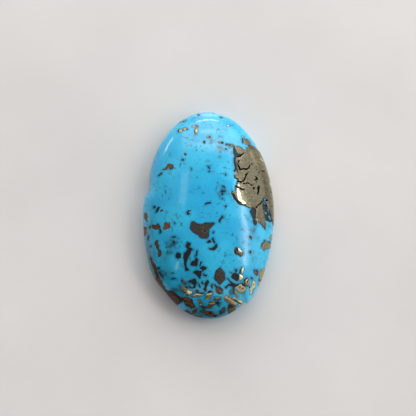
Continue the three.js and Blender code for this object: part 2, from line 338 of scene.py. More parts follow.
HOST_ROCK = {
    # Painted shade: the groove beside the mass and the lower groove are the shadow in the groove along the
    # mass's left edge, drawn as host rock
    "groove beside the mass": (1, "band", 0.16, [(3.95, 9.7), (3.88, 8.9), (4.0, 8.4), (3.95, 7.6)]),
    "bay in the mass": (0.8, "area", [
        (3.85, 8.85), (4.15, 8.75), (4.55, 8.5), (4.85, 8.3), (4.4, 8.1), (4.1, 7.8), (3.85, 8.0),
    ]),
    "lower groove": (0.9, "band", 0.13, [(3.95, 7.4), (4.0, 6.6), (4.0, 5.8)]),
    "step beside the mass": (0.7, "band", 0.1, [
        (3.5, 2.6), (3.5, 2.3), (3.75, 1.75), (4.1, 1.25), (4.6, 0.8),
    ]),
    "left of the spear": (0.75, "area", [
        (6.27, -0.01), (6.72, 0.28), (7.09, 0.23), (7.14, -0.13), (7.02, -0.59), (7.05, -0.94),
        (6.95, -1.16), (7.31, -1.7), (7.29, -2.32), (6.97, -2.4), (6.69, -2.06), (6.67, -1.49),
        (6.55, -1.05), (6.19, -0.66),
    ]),
    "right of the spear": (0.45, "area", [
        (7.97, 1.9), (8.4, 1.9), (8.72, 1.25), (8.95, 0.85), (9.23, 0.23), (9.47, -0.42), (9.7, -1.15),
        (9.51, -1.53), (8.99, -1.49), (8.68, -1.4), (8.53, -0.98), (8.41, -0.41), (8.25, 0.28), (8.12, 1.0),
    ]),
    "tip of the spear": (0.3, "area", [(8.2, -2.22), (8.67, -2.0), (8.53, -2.9), (8.32, -2.6)]),
    "left of the grain above": (0.7, "band", 0.1, [(5.2, 11.3), (5.2, 10.9), (5.28, 10.6)]),
    "right of the grain above": (0.8, "spot", (6.25, 10.2, 0.2, 0.12, -30)),
    "dash at the middle": (0.75, "band", 0.15, [(-0.35, 0.68), (0.25, 0.8)]),
    "dot": (0.9, "spot", (2.55, 0.27, 0.2, 0.2, 0)),
    "leaning dash": (0.6, "band", 0.16, [(2.08, -1.2), (1.7, -1.95)]),
    "dot by the dark grain": (0.9, "spot", (0.7, -3.62, 0.16, 0.18, 0)),
    "dot under the dark grain": (0.35, "spot", (0.14, -4.95, 0.32, 0.27, 0)),
    "curl": (0.85, "band", 0.13, [(0.69, -4.55), (0.82, -4.88), (0.95, -5.15)]),
    "crescent under it": (0.2, "area", [
        (0.02, -5.9), (0.6, -5.85), (1.0, -5.6), (1.15, -5.3), (1.45, -5.45), (1.2, -5.95), (0.9, -6.27),
        (0.3, -6.2),
    ]),
    "hook": (0.4, "band", 0.13, [(-3.15, -0.62), (-3.05, -0.82), (-2.85, -0.9)]),
    "leaf": (0.15, "area", [
        (-3.4, -5.3), (-3.0, -5.1), (-2.55, -5.25), (-2.75, -5.85), (-3.1, -6.2), (-3.4, -5.8),
    ]),
    "knot": (0.3, "spot", (-2.68, -6.2, 0.36, 0.3, 20)),
    "long stem": (0.1, "area", [
        (-3.1, -6.1), (-2.4, -6.2), (-2.7, -6.75), (-3.0, -7.3), (-3.2, -8.0), (-3.22, -8.6), (-2.9, -8.85),
        (-2.88, -9.25), (-3.4, -9.32), (-3.55, -8.5), (-3.75, -7.6), (-3.7, -6.8), (-3.4, -6.45),
    ]),
    "round by the stem": (0.15, "spot", (-4.5, -7.0, 0.32, 0.42, 0)),
    "sliver by the stem": (0.9, "band", 0.12, [(-1.7, -6.5), (-1.85, -7.05)]),
    "broken piece": (0.2, "area", [
        (-1.85, -7.35), (-1.48, -7.7), (-1.6, -8.2), (-1.75, -8.8), (-1.98, -8.6), (-2.6, -8.6),
        (-2.7, -8.2), (-2.45, -7.82), (-2.05, -7.85),
    ]),
    "comma": (0.8, "band", 0.12, [(-1.1, -8.12), (-1.24, -8.42)]),
    "lens": (0.3, "area", [
        (-1.38, -8.75), (-0.8, -8.57), (-0.2, -8.8), (-0.4, -9.12), (-0.75, -9.2), (-1.2, -8.92),
    ]),
    "link": (0.5, "band", 0.1, [(-0.75, -9.2), (-0.9, -9.4)]),
    "bean": (0.9, "spot", (-0.57, -9.83, 0.25, 0.15, -30)),
    "wedge": (0.15, "area", [
        (-2.28, -9.32), (-1.5, -9.15), (-0.92, -9.35), (-1.05, -9.9), (-1.2, -10.5), (-1.6, -10.1),
        (-2.1, -9.6),
    ]),
    "spindle": (0.2, "area", [
        (-0.55, -11.18), (-0.38, -10.72), (-0.08, -10.62), (0.07, -10.84), (-0.13, -11.38), (-0.3, -11.83),
        (-0.36, -12.26), (-0.6, -12.34), (-0.78, -12.05), (-0.7, -11.58),
    ]),
    "seed": (0.7, "area", [
        (-1.05, -10.86), (-0.81, -10.72), (-0.63, -11.05), (-0.77, -11.24), (-1.02, -11.13),
    ]),
    "thorn": (0.8, "area", [
        (-1.56, -11.0), (-1.37, -11.07), (-1.06, -11.65), (-1.25, -11.79), (-1.44, -11.5),
    ]),
    "boot": (0.3, "area", [
        (-3.15, -10.69), (-2.55, -10.56), (-2.17, -10.37), (-1.83, -10.42), (-1.8, -11.14), (-2.0, -11.7),
        (-2.32, -11.74), (-2.17, -11.25), (-2.57, -11.09), (-3.0, -10.93),
    ]),
    # Painted shade: this band is the bright bar's shadow on its lower left, drawn as host rock
    "painted shade under the bar": (0.5, "band", 0.08, [
        (-4.22, -11.41), (-3.95, -11.96), (-3.57, -12.42), (-3.15, -12.8),
    ]),
    "over the bar": (0.6, "spot", (-3.22, -11.7, 0.18, 0.13, -40)),
    "teal edge of the leaning grain": (0.95, "area", [
        (0.9, -11.15), (0.6, -11.85), (0.35, -11.7), (0.6, -11.2),
    ]),
    "line along the bevel": (0.9, "band", 0.08, [(-1.49, -12.45), (-1.11, -12.5), (-0.66, -12.46)]),
    "shade over the hook": (0.4, "area", [
        (-0.24, -12.46), (-0.03, -12.13), (0.36, -12.02), (0.66, -12.22), (0.54, -12.4), (0.22, -12.5),
    ]),
    "blot in the cluster": (0.7, "spot", (4.1, -9.2, 0.2, 0.2, 0)),
    "second blot": (0.85, "spot", (3.4, -9.55, 0.17, 0.13, -20)),
    "third blot": (0.45, "area", [
        (3.32, -9.96), (3.6, -9.7), (4.0, -9.55), (4.5, -9.65), (4.58, -10.06), (4.5, -10.55),
        (3.99, -10.72), (3.74, -10.6), (3.44, -10.25),
    ]),
    "fourth blot": (0.6, "area", [
        (3.5, -11.35), (3.95, -11.15), (4.3, -11.05), (5.0, -11.0), (5.5, -11.25), (5.5, -11.5),
        (4.9, -11.33), (4.2, -11.38), (3.7, -11.6),
    ]),
    "dash in the cluster": (0.8, "band", 0.13, [(2.88, -10.36), (3.13, -10.77), (3.48, -10.92)]),
    "red dash": (0.15, "band", 0.12, [(2.57, -11.61), (2.97, -11.32), (3.61, -11.14)]),
    "fifth blot": (0.35, "spot", (3.58, -11.22, 0.38, 0.2, 10)),
    "shade of the mirror sliver": (0.3, "band", 0.06, [(4.92, -8.75), (4.72, -9.2), (4.65, -9.6)]),
    "dark edge of the cluster": (0.5, "area", [
        (3.6, -11.15), (3.78, -11.4), (3.9, -11.9), (3.86, -12.4), (4.15, -12.8), (3.8, -12.6),
        (3.66, -12.05), (3.6, -11.6),
    ]),
    "gap in the grains": (0.4, "spot", (5.15, -11.2, 0.12, 0.16, 0)),
    "rim of the middle grain": (0.6, "band", 0.13, [
        (5.92, -11.3), (5.6, -11.2), (5.42, -10.9), (5.49, -10.5), (5.72, -10.25),
    ]),
    "slate spot": (0.9, "spot", (6.5, -10.13, 0.23, 0.17, 0)),
    "cap of the round grain": (0.7, "band", 0.08, [(6.9, -9.0), (7.2, -8.9), (7.45, -9.05)]),
    "nick on the rim": (0.6, "spot", (7.85, -10.3, 0.2, 0.12, 0)),
    "edge of the large grain": (0.8, "band", 0.1, [(8.0, -5.45), (8.15, -4.95), (8.5, -4.45)]),
    "spot on the right rim": (0.9, "spot", (9.25, -4.55, 0.18, 0.16, 0)),
    "navy dot": (1.0, "spot", (6.38, -4.2, 0.18, 0.22, 0)),
    "teal bean": (0.95, "spot", (6.3, -6.4, 0.27, 0.16, 25)),
    "edge of the bright grain": (0.4, "band", 0.08, [(3.98, -6.7), (3.95, -6.3), (4.15, -5.95)]),
    "nick under the mass": (0.9, "spot", (2.6, 5.17, 0.17, 0.15, 0)),
    "flecks": (0.85, "band", 0.12, [(-0.1, 6.36), (0.1, 6.15)]),
    "blue dot": (1.0, "spot", (0.15, 5.6, 0.16, 0.16, 0)),
    "web": (0.8, "band", 0.13, [(2.0, 3.35), (2.35, 3.15)]),
    "web knot": (0.9, "spot", (2.46, 2.65, 0.15, 0.15, 0)),
    "web foot": (0.6, "band", 0.11, [(1.92, 2.5), (2.4, 2.5)]),
    "web tail": (0.85, "band", 0.09, [(2.02, 2.75), (2.02, 2.1)]),
    "web dot": (0.85, "spot", (2.02, 1.42, 0.16, 0.14, 0)),
    "dot by the top": (0.7, "spot", (0.25, 11.13, 0.17, 0.21, 0)),
    "slate fleck": (0.8, "spot", (2.12, 10.22, 0.22, 0.18, 0)),
    "second slate fleck": (0.8, "spot", (2.75, 10.0, 0.18, 0.16, 0)),
    "third slate fleck": (0.8, "spot", (3.2, 10.0, 0.2, 0.14, 0)),
    "fourth slate fleck": (0.9, "spot", (2.65, 9.12, 0.17, 0.17, 0)),
    "fifth slate fleck": (0.8, "spot", (-0.62, 10.35, 0.18, 0.16, 0)),
    "shade of the cream chip": (0.3, "spot", (-4.56, 12.42, 0.14, 0.19, 0)),
    "shade of the peach chip": (0.4, "spot", (-3.27, 12.62, 0.18, 0.15, 0)),
    "shade of the upright chip": (0.5, "spot", (-2.06, 12.08, 0.09, 0.33, 0)),
    "spot on the top rim": (0.4, "spot", (-4.35, 14.2, 0.2, 0.2, 0)),
    "second spot on the top rim": (0.5, "spot", (-3.75, 14.1, 0.13, 0.1, 0)),
    "third spot on the top rim": (0.5, "spot", (-1.47, 15.2, 0.17, 0.15, 0)),
    "ink dot": (0.95, "spot", (-3.83, 7.5, 0.2, 0.18, 0)),
    "small ink dot": (0.95, "spot", (-2.52, 5.97, 0.13, 0.15, 0)),
    "tip of the crescent": (0.9, "spot", (-6.65, 6.28, 0.17, 0.1, 20)),
    "pocket of the crescent": (0.8, "spot", (-5.78, 6.28, 0.2, 0.17, 0)),
    "pair": (0.7, "spot", (-7.13, 5.6, 0.2, 0.18, 0)),
    "pair's other": (0.75, "spot", (-7.45, 5.4, 0.2, 0.18, 0)),
    "left dot": (0.45, "spot", (-8.1, 0.53, 0.24, 0.24, 0)),
    "left dash": (0.45, "band", 0.14, [(-7.45, 0.32), (-7.65, 0.05), (-7.85, -0.2)]),
    "dot by the knob": (0.7, "spot", (-8.71, -2.38, 0.18, 0.18, 0)),
    "tail of the knob": (0.8, "band", 0.11, [(-7.2, -2.95), (-7.15, -3.4)]),
    "two ticks": (0.9, "band", 0.1, [(-5.12, -2.1), (-5.0, -2.28)]),
    "blot under the round": (0.9, "spot", (-5.1, -4.23, 0.23, 0.14, 0)),
    "second blot under it": (0.75, "spot", (-5.2, -5.0, 0.16, 0.25, 0)),
    "rim tick": (0.45, "band", 0.1, [(-9.02, -3.6), (-9.0, -4.2)]),
    "rim dot": (0.8, "spot", (-8.68, -5.25, 0.17, 0.14, 0)),
    "rim line": (0.3, "band", 0.1, [(-8.64, -6.8), (-8.42, -7.25)]),
    "dusk spot": (0.5, "spot", (-7.43, -8.6, 0.2, 0.16, 0)),
    "rim streak": (0.8, "band", 0.1, [(-7.33, -9.29), (-7.13, -9.52), (-6.83, -9.82)]),
    "dark piece of the left rim": (0.5, "band", 0.12, [(-7.7, -8.95), (-7.62, -9.45), (-7.52, -9.95)]),
    "slate oval": (0.9, "spot", (-5.2, -10.3, 0.3, 0.13, 0)),
    "black end": (0.2, "area", [
        (-1.18, -14.18), (-0.75, -14.14), (-0.26, -14.3), (-0.33, -14.6), (-0.64, -14.74), (-1.03, -14.6),
    ]),
    "grey end": (0.35, "area", [
        (-3.6, -14.7), (-3.05, -14.78), (-2.6, -15.04), (-2.63, -15.32), (-3.15, -15.12), (-3.5, -14.9),
    ]),
    "line under the end": (0.3, "band", 0.13, [
        (-3.45, -14.98), (-2.84, -15.3), (-2.32, -15.5), (-1.73, -15.63), (-1.1, -15.7),
    ]),
    "nick under the end": (0.3, "band", 0.1, [(0.7, -15.5), (1.05, -15.62)]),
    "pocket in the brown end": (0.9, "area", [
        (-4.1, -12.89), (-3.8, -13.1), (-3.85, -13.65), (-4.11, -13.77),
    ]),
    "black end bar": (0.5, "band", 0.1, [(1.17, -13.72), (1.55, -13.78)]),
    "dark stain in the wall": (0.3, "band", 0.1, [(1.75, -14.95), (1.96, -15.11), (1.78, -15.31)]),
}

# Cracks and pits of the pyrite mass
CRACKS = [
    (0.14, [(5.26, 8.65), (4.98, 8.45), (4.73, 8.17), (4.4, 8.12)]),
    (0.12, [(4.65, 7.36), (4.5, 7.05)]),
    (0.11, [(4.5, 7.05), (4.4, 6.69)]),
    (0.14, [(4.43, 6.69), (4.71, 6.29), (4.78, 6.02)]),
    (0.14, [(4.72, 6.03), (5.07, 6.14), (5.45, 6.2), (5.8, 6.26), (6.01, 6.33)]),
    (0.12, [(6.01, 6.33), (6.14, 6.58), (6.24, 6.85)]),
    (0.11, [(5.92, 5.76), (5.8, 5.54), (5.6, 5.3), (5.46, 4.86), (5.36, 4.53)]),
    (0.12, [(5.36, 4.53), (5.17, 4.27), (4.82, 4.24), (4.3, 4.22)]),
    (0.095, [(5.26, 3.88), (5.85, 4.01), (6.24, 3.89), (6.59, 3.8)]),
    (0.12, [(4.0, 3.4), (4.49, 3.22)]),
    (0.11, [(4.49, 3.22), (4.81, 3.08), (5.38, 3.07)]),
    (0.11, [(7.1, 0.35), (7.51, 0.72), (7.82, 1.06), (7.95, 1.4)]),
    (0.095, [(3.85, -13.44), (4.18, -13.48), (4.48, -13.63), (4.76, -13.86)]),
]
PITS = [
    (4.9, 4.07, 0.12, 0.16, 0), (7.15, 5.05, 0.25, 0.13, -35), (7.28, 4.75, 0.25, 0.16, -20),
    (6.95, 4.6, 0.22, 0.13, 30), (7.12, 4.4, 0.12, 0.16, 0), (7.27, 6.25, 0.14, 0.1, 0),
    (6.55, 7.1, 0.088, 0.22, 0), (6.55, 7.65, 0.11, 0.078, 0), (8.3, 6.25, 0.25, 0.1, 0),
    (7.3, 6.8, 0.15, 0.1, 0), (7.65, 5.95, 0.15, 0.1, 0), (7.58, 8.3, 0.12, 0.1, 0),
    (6.84, 3.28, 0.18, 0.27, 0), (7.5, 3.35, 0.21, 0.52, 0), (7.45, 2.75, 0.15, 0.45, 0),
    (5.28, 3.95, 0.15, 0.12, 0), (6.45, 3.7, 0.18, 0.12, 0), (8.75, 0.85, 0.18, 0.16, 0),
    (8.75, 1.7, 0.21, 0.16, 0), (-0.5, -3.43, 0.25, 0.1, 0), (5.16, -11.6, 0.13, 0.12, 0),
    (4.74, -11.53, 0.12, 0.1, 0), (5.07, -11.23, 0.13, 0.14, 0), (4.4, -11.62, 0.1, 0.08, 0),
    (5.86, -10.72, 0.09, 0.2, 0), (5.7, -11.0, 0.07, 0.09, 0), (6.72, -11.05, 0.16, 0.09, 30),
    (6.6, -11.5, 0.09, 0.08, 0), (6.2, -11.45, 0.12, 0.14, 0), (6.62, -11.9, 0.07, 0.09, 0),
    (3.49, -13.22, 0.14, 0.08, -30), (3.0, -13.08, 0.13, 0.08, -20), (3.6, -14.35, 0.25, 0.1, 0),
    (3.3, -14.2, 0.1, 0.12, 0), (9.4, 3.2, 0.2, 0.1, 0), (9.0, 5.3, 0.12, 0.1, 0), (8.4, 4.6, 0.1, 0.14, 0),
    (9.5, 1.0, 0.12, 0.2, 0), (7.9, 7.1, 0.1, 0.08, 0), (6.1, 8.3, 0.09, 0.07, 0),
]

# Places where the turquoise shows through the host rock
WINDOWS = [
    (8.66, -0.3, 0.12, 0.2, 10), (9.2, -0.8, 0.15, 0.33, 15), (8.42, 1.15, 0.08, 0.2, 20),
    (9.0, 0.15, 0.07, 0.15, 20),
]

# Soft stains and pale clouds of the turquoise, with painted light and shade among them: x, y, half length,
# half width, tilt, strength (below zero is darker). The broad dark ones are painted shade laid over the
# stone's own stains, and a few pale ones are painted highlights.
CLOUDS_AND_PAINTED_LIGHT = [
    (-5.83, 5.53, 0.3, 0.2, 0, -0.5), (-5.75, 8.5, 0.3, 0.25, 0, -0.45), (-6.47, 3.58, 0.3, 0.3, 0, -0.5),
    (-5.6, 3.07, 0.4, 0.2, 0, -0.35), (-5.55, 2.1, 0.25, 0.7, 0, -0.25), (-4.92, 6.3, 0.15, 0.15, 0, -0.4),
    (-2.73, 5.05, 0.35, 0.3, 0, -0.3), (-1.78, 8.97, 0.22, 0.17, 0, -0.5), (-3.1, 9.8, 0.4, 0.2, 0, -0.35),
    (-3.3, 10.95, 0.22, 0.45, 0, -0.3), (-3.65, 9.3, 0.25, 0.4, 0, -0.25),
    (-0.15, 8.33, 0.3, 0.2, 0, -0.35), (-0.15, 7.3, 0.3, 0.25, 0, -0.45), (-0.75, 11.1, 0.3, 0.2, 0, -0.35),
    (0.58, 12.95, 0.22, 0.2, 0, -0.45), (1.5, 12.48, 0.25, 0.2, 0, -0.8), (2.7, 12.6, 0.25, 0.4, 0, -0.4),
    (2.3, 13.3, 0.3, 0.3, 0, -0.25), (0.43, 10.6, 0.35, 0.3, 0, -0.8), (0.35, 10.15, 0.35, 0.25, 0, -0.8),
    (1.1, 10.6, 0.3, 0.5, 0, -0.45), (1.65, 9.45, 0.3, 0.35, 0, -0.85), (2.1, 9.4, 0.17, 0.35, 0, -0.8),
    (1.8, 8.77, 0.22, 0.2, 0, -0.7), (1.68, 7.95, 0.3, 0.28, 0, -0.6), (2.1, 11.25, 0.35, 0.25, 0, -0.5),
    (1.65, 11.3, 0.25, 0.45, 0, -0.45), (4.6, 10.65, 0.25, 0.25, 0, -0.35), (3.5, 8.6, 0.3, 0.5, 0, -0.4),
    (0.7, 5.6, 0.18, 0.18, 0, -0.6), (1.45, 3.87, 0.2, 0.18, 0, -0.7), (1.2, 3.1, 0.22, 0.6, -25, -0.6),
    (1.4, 2.3, 0.3, 0.25, 0, -0.5), (1.6, 1.7, 0.25, 0.4, 0, -0.45), (2.2, 2.6, 0.55, 0.75, 0, -0.55),
    (3.0, 2.1, 0.4, 0.4, 0, -0.35), (-1.37, 3.15, 0.35, 0.3, 0, -0.35), (-0.55, 4.45, 0.6, 0.35, 0, -0.2),
    (2.05, -1.25, 0.2, 0.35, 0, -0.4), (2.3, -0.5, 0.25, 0.25, 0, -0.25), (4.8, -1.7, 0.2, 0.2, 0, -0.3),
    (4.65, -2.45, 0.2, 0.2, 0, -0.25), (5.9, -1.45, 0.2, 0.4, 0, -0.5), (5.6, -1.0, 0.3, 0.3, 0, -0.3),
    (4.2, 0.22, 0.25, 0.15, 0, -0.35), (7.0, -2.9, 0.25, 0.5, 0, -0.45), (6.7, -3.3, 0.4, 0.5, 0, -0.4),
    (6.2, -3.0, 0.3, 0.3, 0, -0.3), (7.4, -4.3, 0.4, 0.4, 0, -0.3), (5.8, -4.2, 0.25, 0.3, 0, -0.3),
    (6.0, -5.3, 0.4, 0.4, 0, -0.35), (7.6, -6.37, 0.3, 0.3, 0, -0.4), (5.45, -6.2, 0.2, 0.3, 0, -0.4),
    (6.6, -7.4, 0.3, 0.6, 0, -0.4), (7.2, -7.2, 0.4, 0.4, 0, -0.35), (8.4, -7.6, 0.25, 0.4, 0, -0.45),
    (2.55, -7.05, 0.18, 0.35, 0, -0.6), (8.8, -3.0, 0.3, 0.5, 0, -0.25), (9.2, -2.2, 0.35, 0.4, 0, -0.5),
    (-4.39, -4.4, 0.3, 0.16, 0, -0.7), (-4.23, -1.2, 0.17, 0.15, 0, -0.5),
    (-3.83, -1.45, 0.17, 0.15, 0, -0.35), (-6.33, -0.55, 0.25, 0.35, -30, -0.4),
    (-6.5, 0.63, 0.22, 0.2, 0, -0.4), (-9.5, 1.1, 0.2, 0.17, 0, -0.5), (-5.4, -3.0, 0.17, 0.5, 0, -0.5),
    (-4.9, -2.5, 0.3, 0.4, 0, -0.25), (-5.35, -5.4, 0.5, 0.3, 15, -0.85), (-5.6, -4.7, 0.4, 0.3, 0, -0.35),
    (-5.93, -5.63, 0.13, 0.12, 0, -0.8), (-6.2, -5.1, 0.22, 0.25, 0, -0.35),
    (-4.7, -5.0, 0.22, 0.25, 0, -0.6), (-4.87, -5.85, 0.2, 0.2, 0, -0.5), (-5.8, -6.5, 0.7, 0.35, 0, -0.5),
    (-6.4, -7.3, 0.6, 0.7, 0, -0.35), (-5.35, -9.5, 0.35, 0.25, 0, -0.7), (-6.4, -9.55, 0.2, 0.25, 0, -0.5),
    (-2.76, -7.5, 0.13, 0.35, 0, -0.7), (-4.95, -8.6, 0.25, 0.5, 0, -0.35),
    # Painted highlights: the pale patch at (-4.85, -8.7) low on the left, and the pale clouds at the lower
    # right tip on the next line
    (-4.85, -8.7, 0.35, 0.5, 0, 0.8), (-4.6, -8.1, 0.3, 0.5, 0, 0.4), (-6.75, -5.6, 0.25, 1.3, 15, 0.35),
    (-5.0, -10.0, 0.5, 0.2, 0, 0.3), (7.0, -12.0, 1.0, 1.6, 30, 0.4), (5.6, -13.0, 1.0, 0.5, -10, 0.25),
    (3.3, -12.2, 0.35, 0.6, 0, -0.6), (-1.9, -7.15, 0.25, 0.35, 0, -0.55), (-7.6, -9.3, 0.2, 0.5, 0, -0.6),
    (-5.1, -11.9, 0.6, 0.3, 0, -0.5), (-4.2, -13.1, 0.3, 0.2, 0, -0.6), (3.6, -12.1, 0.3, 0.7, 0, -0.6),
    (4.2, -9.0, 0.5, 0.4, 0, -0.3), (5.0, -11.0, 0.5, 0.3, 0, -0.4), (5.89, -12.67, 0.13, 0.13, 0, -0.6),
    # Painted highlight: the pale band along the top rim at (0.0, 15.1)
    (0.0, 15.1, 2.8, 0.5, 0, 0.6), (0.5, -11.4, 0.3, 0.35, 0, -0.5), (-1.9, -12.3, 0.7, 0.3, 0, -0.55),
    (-3.0, -11.3, 0.4, 0.5, 0, -0.45), (1.5, -13.8, 0.7, 0.3, 0, -0.6), (1.6, 9.0, 1.2, 0.9, 0, -0.2),
    # Painted shade over real stains: the broad dark clouds from here on darken the left rim, the lower half
    # and the bottom end
    (-8.9, -2.6, 0.9, 2.6, -8, -0.4), (-8.9, -6.6, 0.6, 2.2, 12, -0.5), (-7.9, -9.4, 0.6, 1.6, 32, -0.8),
    (-7.6, -6.2, 1.3, 1.8, -20, -0.3), (-5.7, -5.6, 1.1, 1.3, 0, -0.25), (-6.3, -9.3, 1.3, 1.4, -30, -0.4),
    (-4.6, -12.2, 1.5, 0.9, -20, -0.45), (-1.2, -14.6, 2.6, 0.9, 0, -0.6), (0.0, -15.6, 3.5, 0.5, 0, -0.6),
    (3.0, -14.7, 1.4, 0.7, 20, -0.5), (2.0, -10.6, 2.0, 1.2, 0, -0.15), (-1.0, -7.5, 2.4, 2.4, 0, -0.15),
    (-2.2, -10.4, 1.6, 1.6, 0, -0.2), (6.6, -3.6, 1.6, 1.6, 0, -0.15), (7.3, 11.5, 0.4, 0.6, 40, 0.6),
]

# Shapes of the levels: half the width of each slope, and the width of the groove beside a pyrite grain
MASS_SLOPE = 0.2
GRAIN_SLOPE = 0.12
PIECE_SLOPE = 0.1
CRACK_SLOPE = 0.07
GROOVE_WIDTH = 0.09
RIM_SHEEN = 0.06  # painted sheen: how much lighter the pyrite's tone is painted near the girdle, where it shows a bright grazing reflection
EDGE_DRIFT = 0.045  # how far the drawn outlines wander
FAR_OUTSIDE = 99  # moves the plan place of the back clear of every outline
NOWHERE_NEAR = -9.0  # distance of a shape that is too far off to be worked out

# Places along the section, which is 0 at the top, 1 at the girdle, 2 at the edge of the back and 3 under it
RIM_FROM = 0.78  # part of the dome where the pyrite is painted lighter as sheen
WALL_MINERALS_FROM = 1.5  # from here down the wall has minerals that no outline gives
RELIEF_ENDS = 1.95
BACK_FROM = 1.9
BACK_FADE = 0.1  # length of both fades
UNDER = 3.0

# Minerals that no outline gives: two wavelengths with their seeds, share of the short one, and level
HIDDEN_GRAINS = {
    "pyrite": (3.2, 13, 1.1, 15, 0.6, 2.0),
    "rust": (3.6, 14, 1.2, 16, 0.7, 2.3),
}
HIDDEN_TONE = 0.5

# Materials: lump size in millimetres, detail and roughness of each noise
NOISES = {
    "mottle": (5.0, 3.0, 0.5),
    "fleck": (0.9, 3.0, 0.6),
    "dust": (0.22, 2.0, 0.5),
    "edge": (0.3, 2.0, 0.5),
    "speckle": (0.3, 4.0, 0.7),
    "pinhole": (0.55, 5.0, 0.75),
    "cluster": (3.0, 2.0, 0.5),
}
FIELDS = ("pyrite", "pyrite_tone", "rust", "rust_tone", "rock", "rock_tone", "void", "cloud_and_painted_light", "back")
EDGE_SOFTNESS = {"rust": 0.05, "rock": 0.05, "pyrite": 0.035, "void": 0.04}  # half width of each edge
EDGE_WOBBLE = 0.12  # how far noise shifts the edges
RIM_WIDTH = 0.17  # dark rim inside each inclusion
RIM_DARKNESS = {"rust": 0.75, "rock": 0.9, "pyrite": 0.7}
HALOS = {"rock": (0.35, 0.5), "pyrite": (0.2, 0.9)}  # reach of the shade round a mineral, and its most
LIP_WIDTH = 0.13  # worn lip along the cracks of the pyrite
TURQUOISE_IOR = 1.61
SAW_LINES_PER_MM = 2.5
BUMP_DEPTH = 0.02
PAINT_PATCH = 25  # size of the faint patches in the floor's paint

# Stage: point that the camera looks at, from the middle of the stone's box, and the end with more light
AIM = Vector((-0.07, 0.81, -0.6))
FAR_END = (0.6, 0.8, 0.0)
FLOOR_HALF = 1.5  # metres
FLOOR_CELLS = 8

# Panels of light: heading and tilt of each end of the middle line, angle across it, brightness
PANELS = {
    "back_panel": ((122, 66), (48, 66), 36, 1.2),
    "thin_back_strip": ((103, 81), (77, 83), 3, 9.0),
    "back_strip": ((102, 59), (78, 60), 5, 2.8),
    "high_back_strip": ((104, 43), (68, 45), 9, 1.6),
    "left_back_strip": ((142, 89), (131, 89), 8, 6.0),
    "left_strip": ((129, 33), (156, 28), 8, 1.3),
    "right_strip": ((38, 37), (-19, 52), 6, 3.0),
    "broad_right_strip": ((40, 37), (-22, 53), 15, 1.4),
    "front_strip": ((-124, 54), (-62, 56), 22, 0.7),
}


def linear(hex_colour):
    """Turns an sRGB hex colour into linear red, green, blue and alpha."""
    channels = [int(hex_colour[i : i + 2], 16) / 255 for i in (1, 3, 5)]
    return (*[c / 12.92 if c <= 0.04045 else ((c + 0.055) / 1.055) ** 2.4 for c in channels], 1.0)


# Form

def toward(heading, tilt):
    """Unit direction from a heading and a tilt from straight up, in degrees."""
    level = sin(radians(tilt))
    return cos(radians(heading)) * level, sin(radians(heading)) * level, cos(radians(tilt))


def plan_radius(theta):
    """Radius of a superellipse with the half width and half length as its half axes."""
    across = np.abs(np.cos(theta)) / (WIDTH / 2)
    along = np.abs(np.sin(theta)) / (LENGTH / 2)
    return (across**PLAN_POWER + along**PLAN_POWER) ** (-1 / PLAN_POWER)


def lump(theta, reach):
    """Sum of bell curves over the angle, times the sixth power of the reach, so it fades inwards."""
    total = np.zeros(np.broadcast(theta, reach).shape)
    for at, before, after, size in LUMPS:
        d = (np.degrees(theta) - at + 180) % 360 - 180
        total = total + size * np.exp(-((d / np.where(d < 0, before, after)) ** 2))
    return total * reach**6


def section(t):
    """Reach and height along a superellipse quarter for t up to 1, then down the leaning wall to t = 2."""
    a = np.clip(t, 0, 1) * pi / 2
    w = np.clip(t - 1, 0, 1)
    reach = np.sin(a) ** (2 / SECTION_REACH)
    rise = np.clip(np.cos(a), 0, 1) ** (2 / SECTION_RISE)
    z = np.where(t > 1, GIRDLE * (1 - w), GIRDLE + (HEIGHT - GIRDLE) * rise)
    bevel = np.clip(1 - z / BACK_BEVEL, 0, 1) * BACK_BEVEL
    return reach, BACK_INSET * w**1.5 + bevel, z


def ground(theta, t):
    """Plan radius times reach, plus lump, less inset, turned; a point past a flat is ground back to it."""
    reach, inset, z = section(t)
    r = plan_radius(theta) * reach + lump(theta, reach) - inset
    turned = theta + radians(TURN)
    p = np.stack([r * np.cos(turned), r * np.sin(turned), z + 0 * r], -1)
    for heading, elevation, point, soft in FLATS:
        n = np.array(toward(heading, 90 - elevation))
        d = (p - np.array(point)) @ n
        p = p - (soft * np.logaddexp(0, d / soft))[..., None] * n
    return p


def outward(theta, t):
    """Unit normal of the ground form: the cross product of its two difference steps."""
    step = 1e-3
    t = np.clip(t, step, 2 - 2 * step)
    round_step = ground(theta + step, t) - ground(theta - step, t)
    down_step = ground(theta, t + step) - ground(theta, t)
    n = np.cross(down_step, round_step)
    return n / np.linalg.norm(n, axis=-1, keepdims=True)


def wander(points, wavelength, seed, waves=24):
    """Smooth noise of unit spread: a sum of sine waves in seeded directions, near one wavelength."""
    rng = np.random.default_rng(seed)
    direction = rng.normal(size=(3, waves))
    direction /= np.linalg.norm(direction, axis=0)
    pitch = 2 * pi / wavelength * rng.uniform(0.7, 1.4, waves)
    return np.sin(points @ (direction * pitch) + rng.uniform(0, 2 * pi, waves)).sum(-1) * (2 / waves) ** 0.5


# Distances to the drawn minerals, positive inside, in millimetres

def segment_distance(x, y, start, end):
    """Distance from each point to a straight piece: off its nearest point, held between the two ends."""
    ex, ey = end[0] - start[0], end[1] - start[1]
    along = np.clip(((x - start[0]) * ex + (y - start[1]) * ey) / (ex * ex + ey * ey), 0, 1)
    return np.hypot(x - start[0] - along * ex, y - start[1] - along * ey)


def rounded(outline, passes=2):
    """Cuts each corner of a closed outline at a quarter and three quarters of its sides, twice."""
    p = np.array(outline, float)
    for _ in range(passes):
        following = np.roll(p, -1, axis=0)
        p = np.stack([0.75 * p + 0.25 * following, 0.25 * p + 0.75 * following], 1).reshape(-1, 2)
    return p


